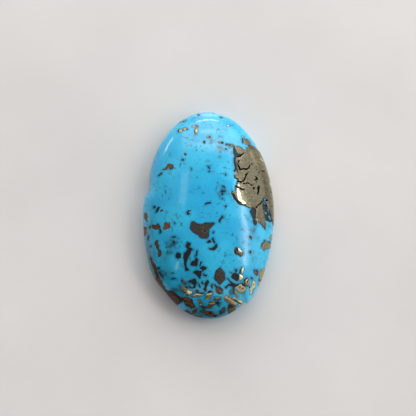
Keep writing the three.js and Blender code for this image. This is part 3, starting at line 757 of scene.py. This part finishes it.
def area(x, y, outline):
    """Distance to the nearest side of the rounded outline, signed by how often a ray crosses it."""
    p = rounded(outline)
    nearest = np.full(x.shape, np.inf)
    inside = np.zeros(x.shape, bool)
    for start, end in zip(np.roll(p, 1, axis=0), p):
        nearest = np.minimum(nearest, segment_distance(x, y, start, end))
        crosses = (start[1] > y) != (end[1] > y)
        rise = end[1] - start[1] if end[1] != start[1] else 1e-9
        inside ^= crosses & (x < start[0] + (end[0] - start[0]) * (y - start[1]) / rise)
    return np.where(inside, nearest, -nearest)


def band(x, y, radius, line):
    """Radius less the distance to a line of straight pieces."""
    return radius - np.min([segment_distance(x, y, a, b) for a, b in zip(line, line[1:])], axis=0)


def spot(x, y, place):
    """One less the distance in half axes, times the smaller half axis of a tilted ellipse."""
    cx, cy, half_length, half_width, tilt = place[:5]
    c, s = cos(radians(tilt)), sin(radians(tilt))
    u = ((x - cx) * c + (y - cy) * s) / half_length
    v = ((y - cy) * c - (x - cx) * s) / half_width
    return (1 - np.hypot(u, v)) * min(half_length, half_width)


def mineral_field(x, y, inclusions):
    """Largest distance over a mineral's inclusions, and the tone of the last one that covers the point."""
    field = np.full(x.shape, NOWHERE_NEAR)
    tone = np.zeros(x.shape)
    for shade, kind, *shape in inclusions.values():
        near = near_shape(x, y, kind, shape)
        d = np.full(x.shape, NOWHERE_NEAR)
        if kind == "area":
            d[near] = area(x[near], y[near], shape[0])
        elif kind == "band":
            d[near] = band(x[near], y[near], *shape)
        else:
            d[near] = spot(x[near], y[near], shape[0])
        tone = np.where((d > field) | (d > 0), shade, tone)
        field = np.maximum(field, d)
    return field, tone


def near_shape(x, y, kind, shape, margin=1.5):
    """Points within the shape's own box, grown by the margin."""
    if kind == "spot":
        cx, cy, half_length, half_width, _ = shape[0]
        reach = max(half_length, half_width) + margin
        return (np.abs(x - cx) < reach) & (np.abs(y - cy) < reach)
    points = np.array(shape[-1])
    low, high = points.min(0) - margin, points.max(0) + margin
    return (x > low[0]) & (x < high[0]) & (y > low[1]) & (y < high[1])


def soft_step(d, half_width):
    """Smooth rise from 0 to 1 across zero, over the given half width."""
    s = np.clip(d / (2 * half_width) + 0.5, 0, 1)
    return s * s * (3 - 2 * s)


# Mesh of the stone

def ring_places(count):
    """Values of t that share out the length of the section evenly from the top to the girdle."""
    t = np.linspace(0, 1, SECTION_STEPS + 1)
    reach, _, z = section(t)
    run = np.hypot(np.diff(reach) * (LENGTH + WIDTH) / 4, np.diff(z)).cumsum()
    return np.interp(np.linspace(0, run[-1], count + 1), np.concatenate([[0], run]), t)


def bent_grid(rings):
    """Square grid bent round: the ring number and angle of each point, and the cells' corner numbers."""
    j, i = np.mgrid[-rings : rings + 1, -rings : rings + 1]
    ring = np.maximum(np.abs(i), np.abs(j))
    sideways = np.abs(i) >= np.abs(j)
    quarter = np.where(sideways, j / np.where(i == 0, 1, i), 2 - i / np.where(j == 0, 1, j))
    flip = np.where(sideways, i < 0, j < 0)
    theta = pi / 4 * (quarter + 4 * flip)
    number = np.arange(ring.size).reshape(ring.shape)
    cells = np.stack([number[:-1, :-1], number[:-1, 1:], number[1:, 1:], number[1:, :-1]], -1)
    return ring, theta, cells.reshape(-1, 4)


def rim_order(rings):
    """Point numbers of the outer ring of a bent grid, once round from its lower right corner."""
    side = 2 * rings + 1
    along = np.arange(2 * rings)
    right = along * side + side - 1
    top = side * side - 1 - along
    left = (side - 1 - along) * side
    bottom = along
    return np.concatenate([right, top, left, bottom])


def stitch(upper, lower):
    """Cells between two rows of points with as many points each."""
    return np.stack([upper, lower, np.roll(lower, -1), np.roll(upper, -1)], -1)


def halve(outer, inner):
    """Triangles from a row to an inner row with half as many points, three for each inner point."""
    first, middle, last = outer[0::2], outer[1::2], np.roll(outer[0::2], -1)
    following = np.roll(inner, -1)
    return np.concatenate(
        [
            np.stack([first, inner, middle], -1),
            np.stack([middle, inner, following], -1),
            np.stack([middle, following, last], -1),
        ]
    )


def stone_surface():
    """Points, normals, section places, quads and triangles of the closed stone.

    The dome is a bent grid. Rows of the wall go down from its rim, and a bent grid with half as many points
    round closes the flat back.
    """
    ring, theta, dome = bent_grid(DOME_RINGS)
    rim = rim_order(DOME_RINGS)
    around = pi / 4 * (np.arange(len(rim)) / DOME_RINGS - 1)
    rows = np.append(np.linspace(1, 2 - BACK_BEVEL / GIRDLE, WALL_ROWS)[1:], 2)
    thetas = np.concatenate([theta.ravel(), np.tile(around, len(rows))])
    places = np.concatenate([ring_places(DOME_RINGS)[ring].ravel(), np.repeat(rows, len(rim))])
    points = ground(thetas, places)
    points[places == 2, 2] = 0
    wall = [rim, *(ring.size + np.arange(len(rows) * len(rim)).reshape(len(rows), -1))]

    back_ring, back_theta, back = bent_grid(BACK_RINGS)
    edge = ground(back_theta.ravel(), np.full(back_theta.size, 2.0))
    back_points = edge * (back_ring.ravel() / (BACK_RINGS + 1))[:, None] * (1, 1, 0)
    below = np.tile([0.0, 0.0, -1.0], (len(back_points), 1))
    bands = [stitch(upper, lower) for upper, lower in zip(wall, wall[1:])]
    return (
        np.concatenate([points, back_points]),
        np.concatenate([outward(thetas, places), below]),
        np.concatenate([places, np.full(len(back_points), UNDER)]),
        np.concatenate([dome, *bands, len(points) + back[:, ::-1]]),
        halve(wall[-1], len(points) + rim_order(BACK_RINGS)),
    )


def hidden_minerals(points, places):
    """Fields for the wall and the back: grains where noise is past a level, veins where it crosses zero.

    All three fade out from half way down the wall to the girdle.
    """
    fade = 2.2 * np.clip(WALL_MINERALS_FROM - places, 0, None)
    hidden = {"rock": 0.09 - np.abs(wander(points, 7, 11)) * 1.2 + 0.05 * wander(points, 1.4, 12) - fade}
    for name, (broad, seed, fine, fine_seed, fine_share, level) in HIDDEN_GRAINS.items():
        noise = wander(points, broad, seed) + fine_share * wander(points, fine, fine_seed)
        hidden[name] = (noise - level) * 0.4 - fade
    return hidden


def dress_surface(points, normals, places, levels):
    """Mineral fields of every point, and the relief they give along the normals.

    The drawn outlines are laid over the dome in plan. Down the wall, the plan place of a point moves
    outwards by its depth under the girdle, and at the back it is far outside them all.
    """
    depth = np.where(places > 2, FAR_OUTSIDE, GIRDLE * np.clip(places - 1, 0, 1))
    outer = 1 + depth / np.maximum(np.hypot(points[:, 0], points[:, 1]), 1)
    x = points[:, 0] * outer + EDGE_DRIFT * (wander(points, 0.9, 1) + 0.4 * wander(points, 0.35, 2))
    y = points[:, 1] * outer + EDGE_DRIFT * (wander(points, 0.9, 3) + 0.4 * wander(points, 0.35, 4))
    hidden = hidden_minerals(points, places)
    fields = {}
    for name, inclusions in (("pyrite", PYRITE), ("rust", RUST), ("rock", HOST_ROCK)):
        drawn, tone = mineral_field(x, y, inclusions)
        if name == "rock":
            drawn = np.minimum(drawn, -np.max([spot(x, y, place) for place in WINDOWS], axis=0))
        fields[name] = np.maximum(drawn, hidden[name])
        fields[f"{name}_tone"] = np.where(hidden[name] > drawn, HIDDEN_TONE, tone)
    crack = np.max([band(x, y, radius, line) for radius, line in CRACKS], axis=0)
    pit = np.max([spot(x, y, place) for place in PITS], axis=0)
    fields["void"] = np.maximum(crack, pit)
    fields["back"] = np.clip((places - BACK_FROM) / BACK_FADE, 0, 1)
    fields["cloud_and_painted_light"] = sum(
        strength * np.exp(-((1 - spot(x, y, (cx, cy, a, b, tilt)) / min(a, b)) ** 2))
        for cx, cy, a, b, tilt, strength in CLOUDS_AND_PAINTED_LIGHT
    )
    mass = area(x, y, PYRITE_MASS)
    dark_grain = area(x, y, PYRITE["dark grain in the middle"][2])
    relief = (
        levels.mass_rise * soft_step(mass, MASS_SLOPE)
        - levels.dark_grain_sink * soft_step(dark_grain, GRAIN_SLOPE)
        + levels.pyrite_rise * soft_step(fields["pyrite"], PIECE_SLOPE)
        - levels.groove_depth * np.exp(-(((fields["pyrite"] + GROOVE_WIDTH) / GROOVE_WIDTH) ** 2))
        - levels.rock_sink * soft_step(fields["rock"], PIECE_SLOPE)
        - levels.rust_sink * soft_step(fields["rust"], PIECE_SLOPE)
        - levels.crack_depth * soft_step(fields["void"], CRACK_SLOPE)
        + levels.polish_wave * (wander(points, 3.5, 6) + 0.2 * wander(points, 1.1, 7))
    ) / MM
    relief = relief * np.clip((RELIEF_ENDS - places) / BACK_FADE, 0, 1)
    # Painted sheen: the pyrite's tone is lightened towards the girdle, standing in for its grazing
    # reflection there
    rim_sheen_share = soft_step(places - RIM_FROM, 0.12) * (places < WALL_MINERALS_FROM)
    fields["pyrite_tone"] = fields["pyrite_tone"] - RIM_SHEEN * rim_sheen_share
    return points + relief[:, None] * normals, fields


def fit_to_box(points, box):
    """Scales and shifts each axis so that the points' box is the solid's box, in metres."""
    low, high = points.min(0), points.max(0)
    box_low, box_high = np.array(box[0]), np.array(box[1])
    return box_low + (points - low) * (box_high - box_low) / (high - low)


def make_mesh(name, points, quads, triangles, fields):
    """Mesh from arrays of points and faces, smooth, with one float attribute for each field."""
    mesh = bpy.data.meshes.new(name)
    mesh.from_pydata(points, [], quads.tolist() + triangles.tolist())
    for field, values in fields.items():
        layer = mesh.attributes.new(field, "FLOAT", "POINT")
        layer.data.foreach_set("value", np.ascontiguousarray(values, np.float32))
    mesh.shade_smooth()
    piece = bpy.data.objects.new(name, mesh)
    bpy.context.scene.collection.objects.link(piece)
    return piece


# Materials

def node(tree, kind, inputs=(), output=0, **settings):
    """Adds a node, sets its properties, fills or links its inputs, and returns one of its outputs."""
    made = tree.nodes.new(f"ShaderNode{kind}")
    for name, value in settings.items():
        setattr(made, name, value)
    for key, value in dict(inputs).items():
        if isinstance(value, bpy.types.NodeSocket):
            tree.links.new(value, made.inputs[key])
        else:
            made.inputs[key].default_value = value
    return made.outputs[output] if made.outputs else None


def polished_turquoise(colours, finish):
    """Turquoise, cut and polished: an opaque sky-blue stone with a waxy shine.

    Soft mottles and teal stains lie in the blue, and pale and dark clouds paint highlights and shade into
    it over the stone's own stains. The pyrite in it is a metal that is cut flat, satin and finely pinholed,
    its tones partly its own and partly painted reflection. Iron stain and black host rock polish a little
    duller, and each grown-in piece is darker along its rim. The back is matte from the saw.
    """
    material = bpy.data.materials.new("polished_turquoise_with_pyrite")
    material.use_nodes = True
    tree = material.node_tree
    tree.nodes.clear()
    add = partial(node, tree)
    smooth = {"interpolation_type": "SMOOTHSTEP"}
    colour_mix = {"data_type": "RGBA", "output": 2}
    place = add("TexCoord", output="Object")
    noise = {
        name: add(
            "TexNoise",
            {"Vector": place, "Scale": 1 / (size * MM), "Detail": detail, "Roughness": rough},
        )
        for name, (size, detail, rough) in NOISES.items()
    }
    field = {name: add("Attribute", output="Fac", attribute_name=name) for name in FIELDS}

    # Outlines of the minerals, broken up by noise of a third of a millimetre, and the dark rims inside them
    wobble = add("Math", {0: noise["edge"], 1: EDGE_WOBBLE, 2: -EDGE_WOBBLE / 2}, operation="MULTIPLY_ADD")
    broken = {name: add("Math", {0: field[name], 1: wobble}, operation="ADD") for name in EDGE_SOFTNESS}
    mask = {
        name: add("MapRange", {0: broken[name], 1: -soft, 2: soft}, **smooth)
        for name, soft in EDGE_SOFTNESS.items()
    }
    rim = {
        name: add("MapRange", {0: broken[name], 2: RIM_WIDTH, 3: share, 4: 0.0}, **smooth)
        for name, share in RIM_DARKNESS.items()
    }

    # Turquoise: two blues in broad mottles, green-blue flecks, pale clouds and teal stains, with painted
    # highlights among the pale clouds and painted shade among the stains
    blue = colours.blue_deep
    for source, none_at, full_at, most, tint in (
        (noise["mottle"], 0.36, 0.64, 1.0, colours.blue_light),
        (noise["fleck"], 0.5, 0.75, 0.4, colours.blue_green),
        (field["cloud_and_painted_light"], 0.0, 0.8, 1.0, colours.blue_pale_and_highlight),
        (field["cloud_and_painted_light"], 0.0, -0.85, 0.85, colours.stain),
    ):
        share = add("MapRange", {0: source, 1: none_at, 2: full_at, 4: most}, **smooth)
        blue = add("Mix", {0: share, 6: blue, 7: tint}, **colour_mix)

    # Pepper: specks of a fifth of a millimetre that come in clusters, and the shade round rock and pyrite
    peppered = add("MapRange", {0: noise["cluster"], 1: 0.42, 2: 0.58}, **smooth)
    share = add("MapRange", {0: noise["pinhole"], 1: 0.54, 2: 0.62, 4: 0.85}, **smooth)
    share = add("Math", {0: share, 1: peppered}, operation="MULTIPLY")
    blue = add("Mix", {0: share, 6: blue, 7: colours.stain}, **colour_mix)
    for name, (reach, most) in HALOS.items():
        share = add("MapRange", {0: broken[name], 1: -reach, 2: 0.02, 4: most})
        blue = add("Mix", {0: share, 6: blue, 7: colours.rock_blue}, **colour_mix)

    # Iron stain and host rock, each from its light tone to its dark one, and darkest along the rim
    rust = add("Mix", {0: field["rust_tone"], 6: colours.rust_light, 7: colours.rust_dark}, **colour_mix)
    share = add("MapRange", {0: noise["dust"], 1: 0.4, 2: 0.75, 4: 0.5}, **smooth)
    rust = add("Mix", {0: share, 6: rust, 7: colours.rust_dark}, **colour_mix)
    rust = add("Mix", {0: rim["rust"], 6: rust, 7: colours.rust_rim}, **colour_mix)
    rock = add("Mix", {0: field["rock_tone"], 6: colours.rock_brown, 7: colours.rock_blue}, **colour_mix)
    share = add("MapRange", {0: noise["dust"], 1: 0.35, 2: 0.7, 4: 0.5}, **smooth)
    rock = add("Mix", {0: share, 6: rock, 7: colours.rock_rim}, **colour_mix)
    rock = add("Mix", {0: rim["rock"], 6: rock, 7: colours.rock_rim}, **colour_mix)

    # Pyrite, from clean through gold and olive to tarnished, with speckles, worn lips and a dark rim; the
    # tones are partly the pyrite's own and partly painted reflection, light where it shows glints and dark
    # where it mirrors the dark overhead
    metal = colours.pyrite_clean_and_glint
    for none_at, full_at, tint in (
        (0.0, 0.35, colours.pyrite_gold),
        (0.35, 0.5, colours.pyrite_olive),
        (0.5, 1.0, colours.pyrite_dark),
    ):
        share = add("MapRange", {0: field["pyrite_tone"], 1: none_at, 2: full_at})
        metal = add("Mix", {0: share, 6: metal, 7: tint}, **colour_mix)
    share = add("MapRange", {0: field["void"], 1: -LIP_WIDTH, 2: -0.03, 4: 0.15})
    metal = add("Mix", {0: share, 6: metal, 7: colours.pyrite_gold}, **colour_mix)
    satin = add("MapRange", {0: field["pyrite_tone"], 1: 0.1, 2: 0.4, 3: 0.2})
    share = add("MapRange", {0: noise["speckle"], 1: 0.32, 2: 0.68, 3: 0.62, 4: 1.3})
    metal = add("Mix", {0: satin, 6: metal, 7: share}, blend_type="MULTIPLY", **colour_mix)
    share = add("MapRange", {0: noise["pinhole"], 1: 0.58, 2: 0.67, 4: 0.7}, **smooth)
    share = add("Math", {0: share, 1: satin}, operation="MULTIPLY")
    metal = add("Mix", {0: share, 6: metal, 7: colours.void}, **colour_mix)
    share = add("MapRange", {0: field["pyrite_tone"], 1: 0.45, 2: 0.8, 3: 0.15})
    share = add("Math", {0: share, 1: rim["pyrite"]}, operation="MULTIPLY")
    metal = add("Mix", {0: share, 6: metal, 7: colours.rock_rim}, **colour_mix)

    base = blue
    for name, mineral in (("rust", rust), ("rock", rock), ("pyrite", metal), ("void", colours.void)):
        base = add("Mix", {0: mask[name], 6: base, 7: mineral}, **colour_mix)

    # The darkest tones, partly tarnish and partly painted dark reflection, hide the bare metal, and a crack
    # in it shows no shine but its own black
    bare = add("MapRange", {0: field["pyrite_tone"], 1: 0.6, 2: 1.0, 3: 0.9, 4: 0.15})
    bare = add("Math", {0: bare, 1: mask["pyrite"]}, operation="MULTIPLY")
    metallic = add("Math", {0: bare, 1: mask["void"]}, operation="MAXIMUM")
    earthy = add("Math", {0: mask["rust"], 1: mask["rock"]}, operation="MAXIMUM")
    gloss = add("MapRange", {0: earthy, 3: 0.5, 4: 0.2})
    dull = add("MapRange", {0: earthy, 3: finish.polish_roughness, 4: finish.rock_roughness})
    share = add("MapRange", {0: noise["speckle"], 1: 0.45, 2: 0.75, 3: finish.pyrite_roughness, 4: 0.4})
    dull = add("Mix", {0: mask["pyrite"], 2: dull, 3: share})
    dull = add("Mix", {0: field["back"], 2: dull, 3: finish.back_roughness})

    # Faint lines of the saw on the back, and a fine grain on the pyrite
    pitch = SAW_LINES_PER_MM / MM / 2
    saw = add("TexWave", {"Vector": place, "Scale": pitch, "Distortion": 1.5, "Detail": 2.0}, 1)
    height = add("Math", {0: noise["dust"], 1: mask["pyrite"]}, operation="MULTIPLY")
    height = add("Math", {0: saw, 1: field["back"], 2: height}, operation="MULTIPLY_ADD")
    normal = add("Bump", {"Height": height, "Strength": 0.1, "Distance": BUMP_DEPTH * MM})
    shader = add(
        "BsdfPrincipled",
        {
            "Base Color": base,
            "Metallic": metallic,
            "Roughness": dull,
            "Normal": normal,
            "IOR": TURQUOISE_IOR,
            "Specular IOR Level": gloss,
        },
    )
    add("OutputMaterial", {"Surface": shader})
    return material


def painted_board(colours):
    """Matte emulsion rolled on a board: a pale sheet with faint broad shading and no shine to speak of."""
    material = bpy.data.materials.new("matte_painted_board")
    material.use_nodes = True
    tree = material.node_tree
    tree.nodes.clear()
    add = partial(node, tree)
    place = add("TexCoord", output="Object")
    noise = add("TexNoise", {"Vector": place, "Scale": 1 / (PAINT_PATCH * MM), "Detail": 3.0})
    share = add("MapRange", {0: noise, 1: 0.3, 2: 0.7})
    tint = add("Mix", {0: share, 6: colours.board, 7: colours.board_shade}, 2, data_type="RGBA")
    shader = add("BsdfPrincipled", {"Base Color": tint, "Roughness": 0.8})
    add("OutputMaterial", {"Surface": shader})
    return material


# Stage

def panel(name, start, end, deep, brightness, distance=0.3):
    """Flat light that faces the stone, with its middle line from one direction to another.

    Each direction is a heading and a tilt, as seen from the stone. The light fills the angle deep across
    that line.
    """
    first, last = Vector(toward(*start)), Vector(toward(*end))
    middle = (first + last).normalized()
    along = (last - first).normalized()
    light = bpy.data.lights.new(name, "AREA")
    light.shape = "RECTANGLE"
    light.size = 2 * distance * tan(first.angle(last) / 2)
    light.size_y = 2 * distance * tan(radians(deep / 2))
    light.energy = brightness * light.size * light.size_y * pi
    lamp = bpy.data.objects.new(name, light)
    lamp.location = middle * distance
    lamp.rotation_euler = Matrix((along, middle.cross(along), middle)).transposed().to_euler()
    bpy.context.scene.collection.objects.link(lamp)


def studio_world(settings):
    """World that is dimmer straight overhead, and dims and warms from far right to near left."""
    world = bpy.data.worlds.new("studio")
    bpy.context.scene.world = world
    world.use_nodes = True
    tree = world.node_tree
    tree.nodes.clear()
    add = partial(node, tree)
    direction = add("TexCoord", output="Generated")
    far = add("VectorMath", {0: direction, 1: FAR_END}, "Value", operation="DOT_PRODUCT")
    share = add("MapRange", {0: far, 1: -0.8, 2: 0.8})
    strength = add("MapRange", {0: share, 3: settings.near_fill, 4: settings.far_fill})
    tint = add("Mix", {0: share, 6: settings.near_walls, 7: settings.walls}, 2, data_type="RGBA")
    up = add("SeparateXYZ", {0: direction}, "Z")
    share = add("MapRange", {0: up, 1: 0.7, 2: 0.95}, interpolation_type="SMOOTHSTEP")
    tint = add("Mix", {0: share, 6: tint, 7: settings.overhead}, 2, data_type="RGBA")
    background = add("Background", {"Color": tint, "Strength": strength})
    add("OutputWorld", {"Surface": background})


def length(name, description, millimetres):
    """Length property, given in millimetres."""
    return bpy.props.FloatProperty(
        name=name, description=description, default=millimetres * MM, min=0, unit="LENGTH", precision=5
    )


def share_of_one(name, description, value):
    """Property between nought and one."""
    return bpy.props.FloatProperty(
        name=name, description=description, default=value, min=0, max=1, subtype="FACTOR"
    )


def colour(name, description, hex_colour):
    """Colour property that opens with an sRGB hex colour."""
    return bpy.props.FloatVectorProperty(
        name=name,
        description=description,
        default=linear(hex_colour),
        subtype="COLOR",
        size=4,
        min=0,
        max=1,
    )


class StoneSurface(bpy.types.PropertyGroup):
    """Levels of the grown-in minerals against the polish, and how dull each of them is."""

    mass_rise: length("Mass rise", "How far the pyrite mass stands above the polish", 0.08)
    dark_grain_sink: length("Dark grain sink", "How far the dark grain in the middle lies below it", 0.06)
    pyrite_rise: length("Pyrite rise", "How far each pyrite grain stands above it", 0.02)
    rock_sink: length("Rock sink", "How far host rock lies below it", 0.03)
    rust_sink: length("Stain sink", "How far iron stain lies below it", 0.02)
    crack_depth: length("Crack depth", "Depth of cracks and pits", 0.02)
    groove_depth: length("Groove depth", "Depth of the groove along pyrite grains", 0.02)
    polish_wave: length("Polish wave", "Faint unevenness of the polish", 0.006)
    polish_roughness: share_of_one("Polish roughness", "Roughness of the polished turquoise", 0.13)
    rock_roughness: share_of_one("Rock roughness", "Roughness of host rock and iron stain", 0.3)
    pyrite_roughness: share_of_one("Pyrite roughness", "Roughness of the pyrite", 0.16)
    back_roughness: share_of_one("Back roughness", "Roughness of the sawn back", 0.55)


class StoneColours(bpy.types.PropertyGroup):
    """Colours of the stone's minerals."""

    blue_deep: colour("Deep blue", "Deeper blue of the turquoise", "#1CB0E2")
    blue_light: colour("Light blue", "Lighter blue of the turquoise", "#30C2EC")
    # Also paints the highlights among the pale clouds
    blue_green: colour("Green blue", "Greener flecks in the turquoise", "#2CB8CC")
    blue_pale_and_highlight: colour("Pale blue", "Pale clouds in the turquoise", "#8FDCF2")
    # The stain colour also paints the shade of the broad dark clouds
    stain: colour("Stain", "Teal-grey stains in the turquoise", "#1F5D68")
    rust_light: colour("Light iron stain", "Lighter iron-brown", "#7A5636")
    rust_dark: colour("Dark iron stain", "Darker iron-brown", "#2A1A11")
    rust_rim: colour("Rim of iron stain", "Dark red-brown along the rims", "#24120C")
    rock_brown: colour("Brown host rock", "Brown host rock", "#2E2B22")
    rock_blue: colour("Blue host rock", "Blue-black host rock", "#0E2C34")
    rock_rim: colour("Rim of host rock", "Black along the rims", "#061618")
    # The pyrite colours are partly tarnish and partly painted reflection, from painted glints at the clean
    # end to painted dark reflection at the tarnished end
    pyrite_clean_and_glint: colour("Clean pyrite", "Pyrite where it is brightest", "#EDF0C8")
    pyrite_gold: colour("Gold pyrite", "Brassy pyrite", "#B7AA7B")
    pyrite_olive: colour("Olive pyrite", "Satin grey-olive pyrite", "#6F6955")
    pyrite_dark: colour("Tarnished pyrite", "Bronze-dark pyrite", "#3E3A30")
    void: colour("Void", "Cracks and pits", "#0A0806")


class StageSettings(bpy.types.PropertyGroup):
    """Floor, room and camera."""

    board: colour("Board", "Colour of the floor", "#E7E5E1")
    board_shade: colour("Board shade", "Darker patches of the floor", "#DEDCD8")
    walls: colour("Walls", "Colour low in the room", "#F2F6FA")
    near_walls: colour("Near walls", "Colour low in the room at the near left end", "#B58A78")
    overhead: colour("Overhead", "Colour straight above", "#A2A8B0")
    far_fill: bpy.props.FloatProperty(
        name="Far fill", description="Brightness of the room at the far right end", default=1.7, min=0
    )
    near_fill: bpy.props.FloatProperty(
        name="Near fill", description="Brightness of the room at the near left end", default=0.1, min=0
    )
    elevation: bpy.props.FloatProperty(
        name="Elevation",
        description="Height of the camera over the horizon",
        default=radians(80),
        subtype="ANGLE",
    )
    distance: bpy.props.FloatProperty(
        name="Distance",
        description="From the camera to the point it looks at",
        default=0.2364,
        unit="LENGTH",
    )
    lens: bpy.props.FloatProperty(
        name="Lens", description="Focal length", default=135, subtype="DISTANCE_CAMERA"
    )


class STONE_OT_cabochon(bpy.types.Operator):
    """Makes the polished stone with its grown-in minerals"""

    bl_idname = "stone.cabochon"
    bl_label = "Turquoise cabochon"

    def execute(self, context):
        finish = context.scene.stone_surface
        points, normals, places, quads, triangles = stone_surface()
        points, fields = dress_surface(points, normals, places, finish)
        points = fit_to_box(points, SOLID_BOX)
        piece = make_mesh("turquoise_cabochon", points, quads, triangles, fields)
        piece.data.materials.append(polished_turquoise(context.scene.stone_colours, finish))
        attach(piece, "root")
        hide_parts(NODE)
        return {"FINISHED"}


class STONE_OT_stage(bpy.types.Operator):
    """Makes the floor, the lights and the camera"""

    bl_idname = "stone.stage"
    bl_label = "Stage"

    def execute(self, context):
        settings = context.scene.stone_stage
        side = np.linspace(-FLOOR_HALF, FLOOR_HALF, FLOOR_CELLS + 1)
        u, v = np.meshgrid(side, side)
        points = np.stack([u.ravel(), v.ravel(), np.zeros(u.size)], -1)
        number = np.arange(u.size).reshape(u.shape)
        cells = np.stack([number[:-1, :-1], number[:-1, 1:], number[1:, 1:], number[1:, :-1]], -1)
        floor = make_mesh("floor", points, cells.reshape(-1, 4), np.empty((0, 3), int), {})
        floor.data.materials.append(painted_board(settings))
        studio_world(settings)
        for name, place in PANELS.items():
            panel(name, *place)

        camera = bpy.data.objects.new("camera", bpy.data.cameras.new("camera"))
        camera.data.lens = settings.lens
        camera.data.sensor_width = 36.0
        camera.data.clip_start = 0.01
        low, high = SOLID_BOX
        aim = (Vector(low) + Vector(high)) / 2 + AIM * MM
        rise = settings.elevation
        back = Vector((0, -cos(rise), sin(rise)))
        camera.location = aim + back * settings.distance
        camera.rotation_euler = back.to_track_quat("Z", "Y").to_euler()
        context.scene.collection.objects.link(camera)
        context.scene.camera = camera
        context.scene.view_settings.view_transform = "Standard"
        return {"FINISHED"}


class STONE_PT_panel(bpy.types.Panel):
    """Lists the sizes and colours"""

    bl_label = "Turquoise cabochon"
    bl_idname = "STONE_PT_panel"
    bl_space_type = "VIEW_3D"
    bl_region_type = "UI"
    bl_category = "Stone"

    def draw(self, context):
        for operator in (STONE_OT_cabochon, STONE_OT_stage):
            self.layout.operator(operator.bl_idname)
        scene = context.scene
        for group in (scene.stone_surface, scene.stone_colours, scene.stone_stage):
            for key in group.__annotations__:
                self.layout.prop(group, key)


CLASSES = (StoneSurface, StoneColours, StageSettings, STONE_OT_cabochon, STONE_OT_stage, STONE_PT_panel)


def register():
    for cls in CLASSES:
        bpy.utils.register_class(cls)
    bpy.types.Scene.stone_surface = bpy.props.PointerProperty(type=StoneSurface)
    bpy.types.Scene.stone_colours = bpy.props.PointerProperty(type=StoneColours)
    bpy.types.Scene.stone_stage = bpy.props.PointerProperty(type=StageSettings)


def unregister():
    del bpy.types.Scene.stone_surface
    del bpy.types.Scene.stone_colours
    del bpy.types.Scene.stone_stage
    for cls in reversed(CLASSES):
        bpy.utils.unregister_class(cls)


def main():
    register()
    bpy.ops.stone.cabochon()
    bpy.ops.stone.stage()


if __name__ == "__main__":
    main()
